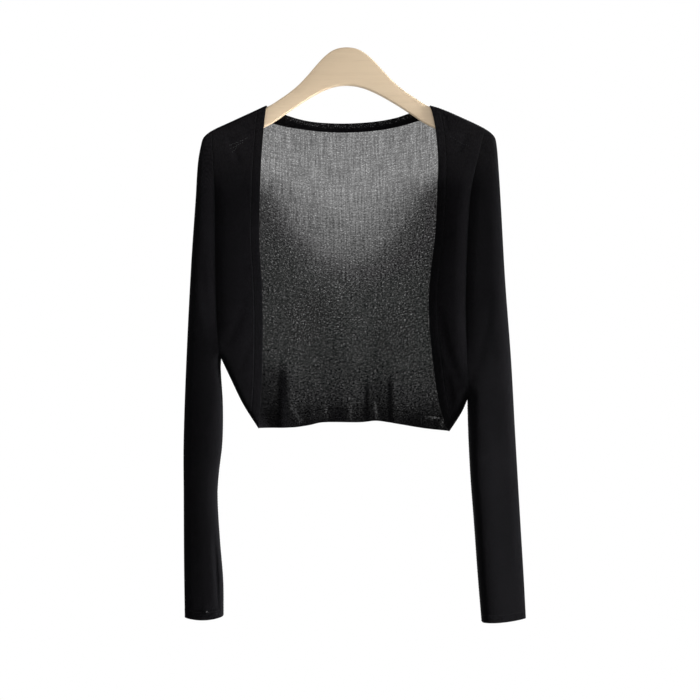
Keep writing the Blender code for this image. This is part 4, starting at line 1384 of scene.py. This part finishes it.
def hanger():
    settings = bpy.context.scene.cardigan_hanger
    thickness, edge_round = settings.thickness / MM, settings.edge_round / MM
    sections = {}
    for side in SIGN:
        top, bottom = hanger_edges(side)
        sections[side] = []
        for share in even(HANGER_STATIONS):
            share = 1 - (1 - share) ** HANGER_TIP_CROWDING
            pair = top.at(share * top.length), bottom.at(share * bottom.length)
            sections[side].append(hanger_section(side, *pair, thickness, edge_round))
    bm = bmesh.new()
    lay_grid(bm, [*sections["right"][:0:-1], *sections["left"]])
    bmesh.ops.remove_doubles(bm, verts=bm.verts, dist=MERGE)
    bmesh.ops.holes_fill(bm, edges=bm.edges, sides=0)
    bmesh.ops.recalc_face_normals(bm, faces=bm.faces)
    finish_piece(add_object("knit_hanger", bm, surface("pale_wood")), "wood", "hanger")


# ---------------------------------------------------------------------------------------------------------
# The studio
# ---------------------------------------------------------------------------------------------------------

FRAME_CENTRE = (0.0019, -0.378)  # across and up, the middle of the picture in the garment's plane
FRAME_WIDTH = 0.875
SENSOR_WIDTH = 36.0
FLOOR_SIZE = 4.0
BACKDROP_EDGES = (-0.35, 0.55)  # how far back directions point where the room ends and the backdrop is full

# Soft lights: where each stands, what it is aimed at, its width, its power in watts, and the angle over
# which it fans out.
Light = namedtuple("Light", "name place aim width power fan")
LIGHTS = [
    Light("key", (2.57, -0.39, -0.66), (0.0, 0.0, -0.56), 0.9, 14.5, 29.0),
    Light("front", (0.2, -2.6, 0.3), (0.0, 0.0, -0.38), 1.6, 7.5, 180.0),
]


def add_lights():
    for light in LIGHTS:
        data = bpy.data.lights.new(light.name, "AREA")
        data.shape = "DISK"
        data.size = light.width
        data.energy = light.power
        data.spread = math.radians(light.fan)
        lamp = bpy.data.objects.new(light.name, data)
        lamp.location = light.place
        lamp.rotation_euler = (Vector(light.aim) - lamp.location).to_track_quat("-Z", "Y").to_euler()
        bpy.context.scene.collection.objects.link(lamp)


def add_camera(distance):
    data = bpy.data.cameras.new("camera")
    data.sensor_width = SENSOR_WIDTH
    data.lens = SENSOR_WIDTH * distance / FRAME_WIDTH
    camera = bpy.data.objects.new("camera", data)
    camera.location = (FRAME_CENTRE[0], -distance, FRAME_CENTRE[1])
    camera.rotation_euler = (math.pi / 2, 0.0, 0.0)
    bpy.context.scene.collection.objects.link(camera)
    bpy.context.scene.camera = camera


def add_floor(drop, colour):
    made, tree, shader = new_material("pale_floor")
    feed(tree, shader, {"Base Color": tinted(colour), "Roughness": 0.9})
    bm = bmesh.new()
    flat = Matrix.Translation((0.0, 0.0, -drop))
    bmesh.ops.create_grid(bm, x_segments=1, y_segments=1, size=FLOOR_SIZE / 2, matrix=flat)
    add_object("floor", bm, made)


def add_world(settings):
    """A white backdrop behind the garment, and a dimmer room in front of it."""
    scene = bpy.context.scene
    scene.world = scene.world or bpy.data.worlds.new("studio")
    scene.world.use_nodes = True
    tree = scene.world.node_tree
    towards = node(tree, "ShaderNodeTexCoord").outputs["Generated"]
    behind = node(tree, "ShaderNodeSeparateXYZ", {"Vector": towards}).outputs["Y"]
    strength = remap(tree, behind, BACKDROP_EDGES, (settings.room_strength, settings.backdrop_strength))
    feed(tree, tree.nodes["Background"], {"Color": tinted(settings.backdrop_colour), "Strength": strength})
    scene.view_settings.view_transform = "Standard"


# ---------------------------------------------------------------------------------------------------------
# Settings, operators and the panel
# ---------------------------------------------------------------------------------------------------------


def length_setting(name, description, default):
    return FloatProperty(
        name=name, description=description, default=default, min=0.0, unit="LENGTH", precision=5
    )


def strength_setting(name, description, default, most=100.0):
    return FloatProperty(name=name, description=description, default=default, min=0.0, max=most)


def colour_setting(name, description, default):
    return FloatVectorProperty(
        name=name, description=description, default=default, size=3, min=0.0, max=1.0, subtype="COLOR"
    )


class CardiganClothSettings(bpy.types.PropertyGroup):
    wall: length_setting("Wall", "Thickness of the single knit", 0.0008)
    band_wall: length_setting("Band wall", "Thickness of the doubled bands", 0.0015)
    wale: length_setting("Wale", "Width of one column of stitches", 0.0012)
    course: length_setting("Course", "Height of one row of stitches", 0.00095)
    sheen: strength_setting("Sheen", "Soft shine of the yarn's hairs", 0.008, most=1.0)
    knit_colour: colour_setting("Knit", "Colour of the black knit", (0.0023, 0.0022, 0.0026))
    sheer_colour: colour_setting("Sheer knit", "Colour of the sheer back", (0.0030, 0.0029, 0.0033))
    yarn_colour: colour_setting("Linking yarn", "Colour of the linking stitches", (0.0030, 0.0029, 0.0033))
    mark_colour: colour_setting("Fashioning yarn", "Colour of fashioning stitches", (0.034, 0.034, 0.035))


class CardiganStitchSettings(bpy.types.PropertyGroup):
    width: length_setting("Stitch width", "Width of one linking stitch", 0.0010)
    hem_width: length_setting("Hem stitch width", "Width of one stitch of the wrist hems", 0.0006)
    pitch: length_setting("Stitch pitch", "Distance from one linking stitch to the next", 0.0017)


class CardiganHangerSettings(bpy.types.PropertyGroup):
    thickness: length_setting("Thickness", "Thickness of the wood", 0.0120)
    edge_round: length_setting("Edge rounding", "Radius of the wood's rounded edges", 0.0026)
    wood_colour: colour_setting("Wood", "Lighter colour of the wood", (0.655, 0.519, 0.360))
    grain_colour: colour_setting("Grain", "Darker colour of the grain", (0.575, 0.440, 0.295))


class CardiganStageSettings(bpy.types.PropertyGroup):
    camera_distance: length_setting("Camera distance", "From the camera to the garment", 3.0)
    floor_drop: length_setting("Floor", "How far the floor lies below the top of the hanger", 1.12)
    floor_colour: colour_setting("Floor colour", "Colour of the floor", (0.74, 0.74, 0.74))
    backdrop_colour: colour_setting("Backdrop", "Colour of the light round the garment", (1.0, 1.0, 1.0))
    backdrop_strength: strength_setting("Backdrop", "Brightness behind the garment", 1.0)
    room_strength: strength_setting("Room", "Brightness in front of the garment", 0.62)


class CARDIGAN_OT_hanger(bpy.types.Operator):
    """Make the wooden hanger"""

    bl_idname = "cardigan.hanger"
    bl_label = "Hanger"

    def execute(self, context):
        hanger()
        return {"FINISHED"}


class CARDIGAN_OT_fronts(bpy.types.Operator):
    """Make the two front panels"""

    bl_idname = "cardigan.fronts"
    bl_label = "Fronts"

    def execute(self, context):
        for side in SIGN:
            front_panel(side)
        return {"FINISHED"}


class CARDIGAN_OT_back(bpy.types.Operator):
    """Make the sheer back"""

    bl_idname = "cardigan.back"
    bl_label = "Back"

    def execute(self, context):
        back_panel()
        return {"FINISHED"}


class CARDIGAN_OT_sleeves(bpy.types.Operator):
    """Make the two sleeves"""

    bl_idname = "cardigan.sleeves"
    bl_label = "Sleeves"

    def execute(self, context):
        for side in SIGN:
            sleeve(side)
        return {"FINISHED"}


class CARDIGAN_OT_bands(bpy.types.Operator):
    """Make the bands of the front edges, the neck and the hem"""

    bl_idname = "cardigan.bands"
    bl_label = "Bands"

    def execute(self, context):
        for side in SIGN:
            front_band(side)
        back_band("band_neck", neck_lines(), SHOULDER_ROUND, NECK_STEPS)
        back_band("band_hem", hem_lines(), SIDE_ROUND, BACK_STEPS, through=sheerness)
        return {"FINISHED"}


class CARDIGAN_OT_stitches(bpy.types.Operator):
    """Make the linking and fashioning stitches"""

    bl_idname = "cardigan.stitches"
    bl_label = "Stitches"

    def execute(self, context):
        for side in SIGN:
            linked_seams(side)
        linked_bands()
        fashioning_marks()
        cuff_tack()
        return {"FINISHED"}


class CARDIGAN_OT_stage(bpy.types.Operator):
    """Make the floor, the lights and the camera"""

    bl_idname = "cardigan.stage"
    bl_label = "Stage"

    def execute(self, context):
        settings = context.scene.cardigan_stage
        add_floor(settings.floor_drop, settings.floor_colour[:])
        add_world(settings)
        add_lights()
        add_camera(settings.camera_distance)
        return {"FINISHED"}


OPERATORS = (
    CARDIGAN_OT_stage, CARDIGAN_OT_hanger, CARDIGAN_OT_back, CARDIGAN_OT_fronts, CARDIGAN_OT_sleeves,
    CARDIGAN_OT_bands, CARDIGAN_OT_stitches,
)
SETTINGS = {
    "cardigan_cloth": CardiganClothSettings,
    "cardigan_stitches": CardiganStitchSettings,
    "cardigan_hanger": CardiganHangerSettings,
    "cardigan_stage": CardiganStageSettings,
}


class CARDIGAN_PT_panel(bpy.types.Panel):
    bl_idname = "CARDIGAN_PT_panel"
    bl_label = "Cardigan"
    bl_space_type = "VIEW_3D"
    bl_region_type = "UI"
    bl_category = "Cardigan"

    def draw(self, context):
        for name, group in SETTINGS.items():
            box = self.layout.box()
            for key in group.__annotations__:
                box.prop(getattr(context.scene, name), key)
        for operator in OPERATORS:
            self.layout.operator(operator.bl_idname)


def register():
    for group in (*SETTINGS.values(), *OPERATORS, CARDIGAN_PT_panel):
        bpy.utils.register_class(group)
    for name, group in SETTINGS.items():
        setattr(bpy.types.Scene, name, PointerProperty(type=group))


def unregister():
    for name in SETTINGS:
        delattr(bpy.types.Scene, name)
    for group in reversed((*SETTINGS.values(), *OPERATORS, CARDIGAN_PT_panel)):
        bpy.utils.unregister_class(group)


def main():
    register()
    bpy.ops.cardigan.stage()
    bpy.ops.cardigan.hanger()
    bpy.ops.cardigan.back()
    bpy.ops.cardigan.fronts()
    bpy.ops.cardigan.sleeves()
    bpy.ops.cardigan.bands()
    bpy.ops.cardigan.stitches()


if __name__ == "__main__":
    main()
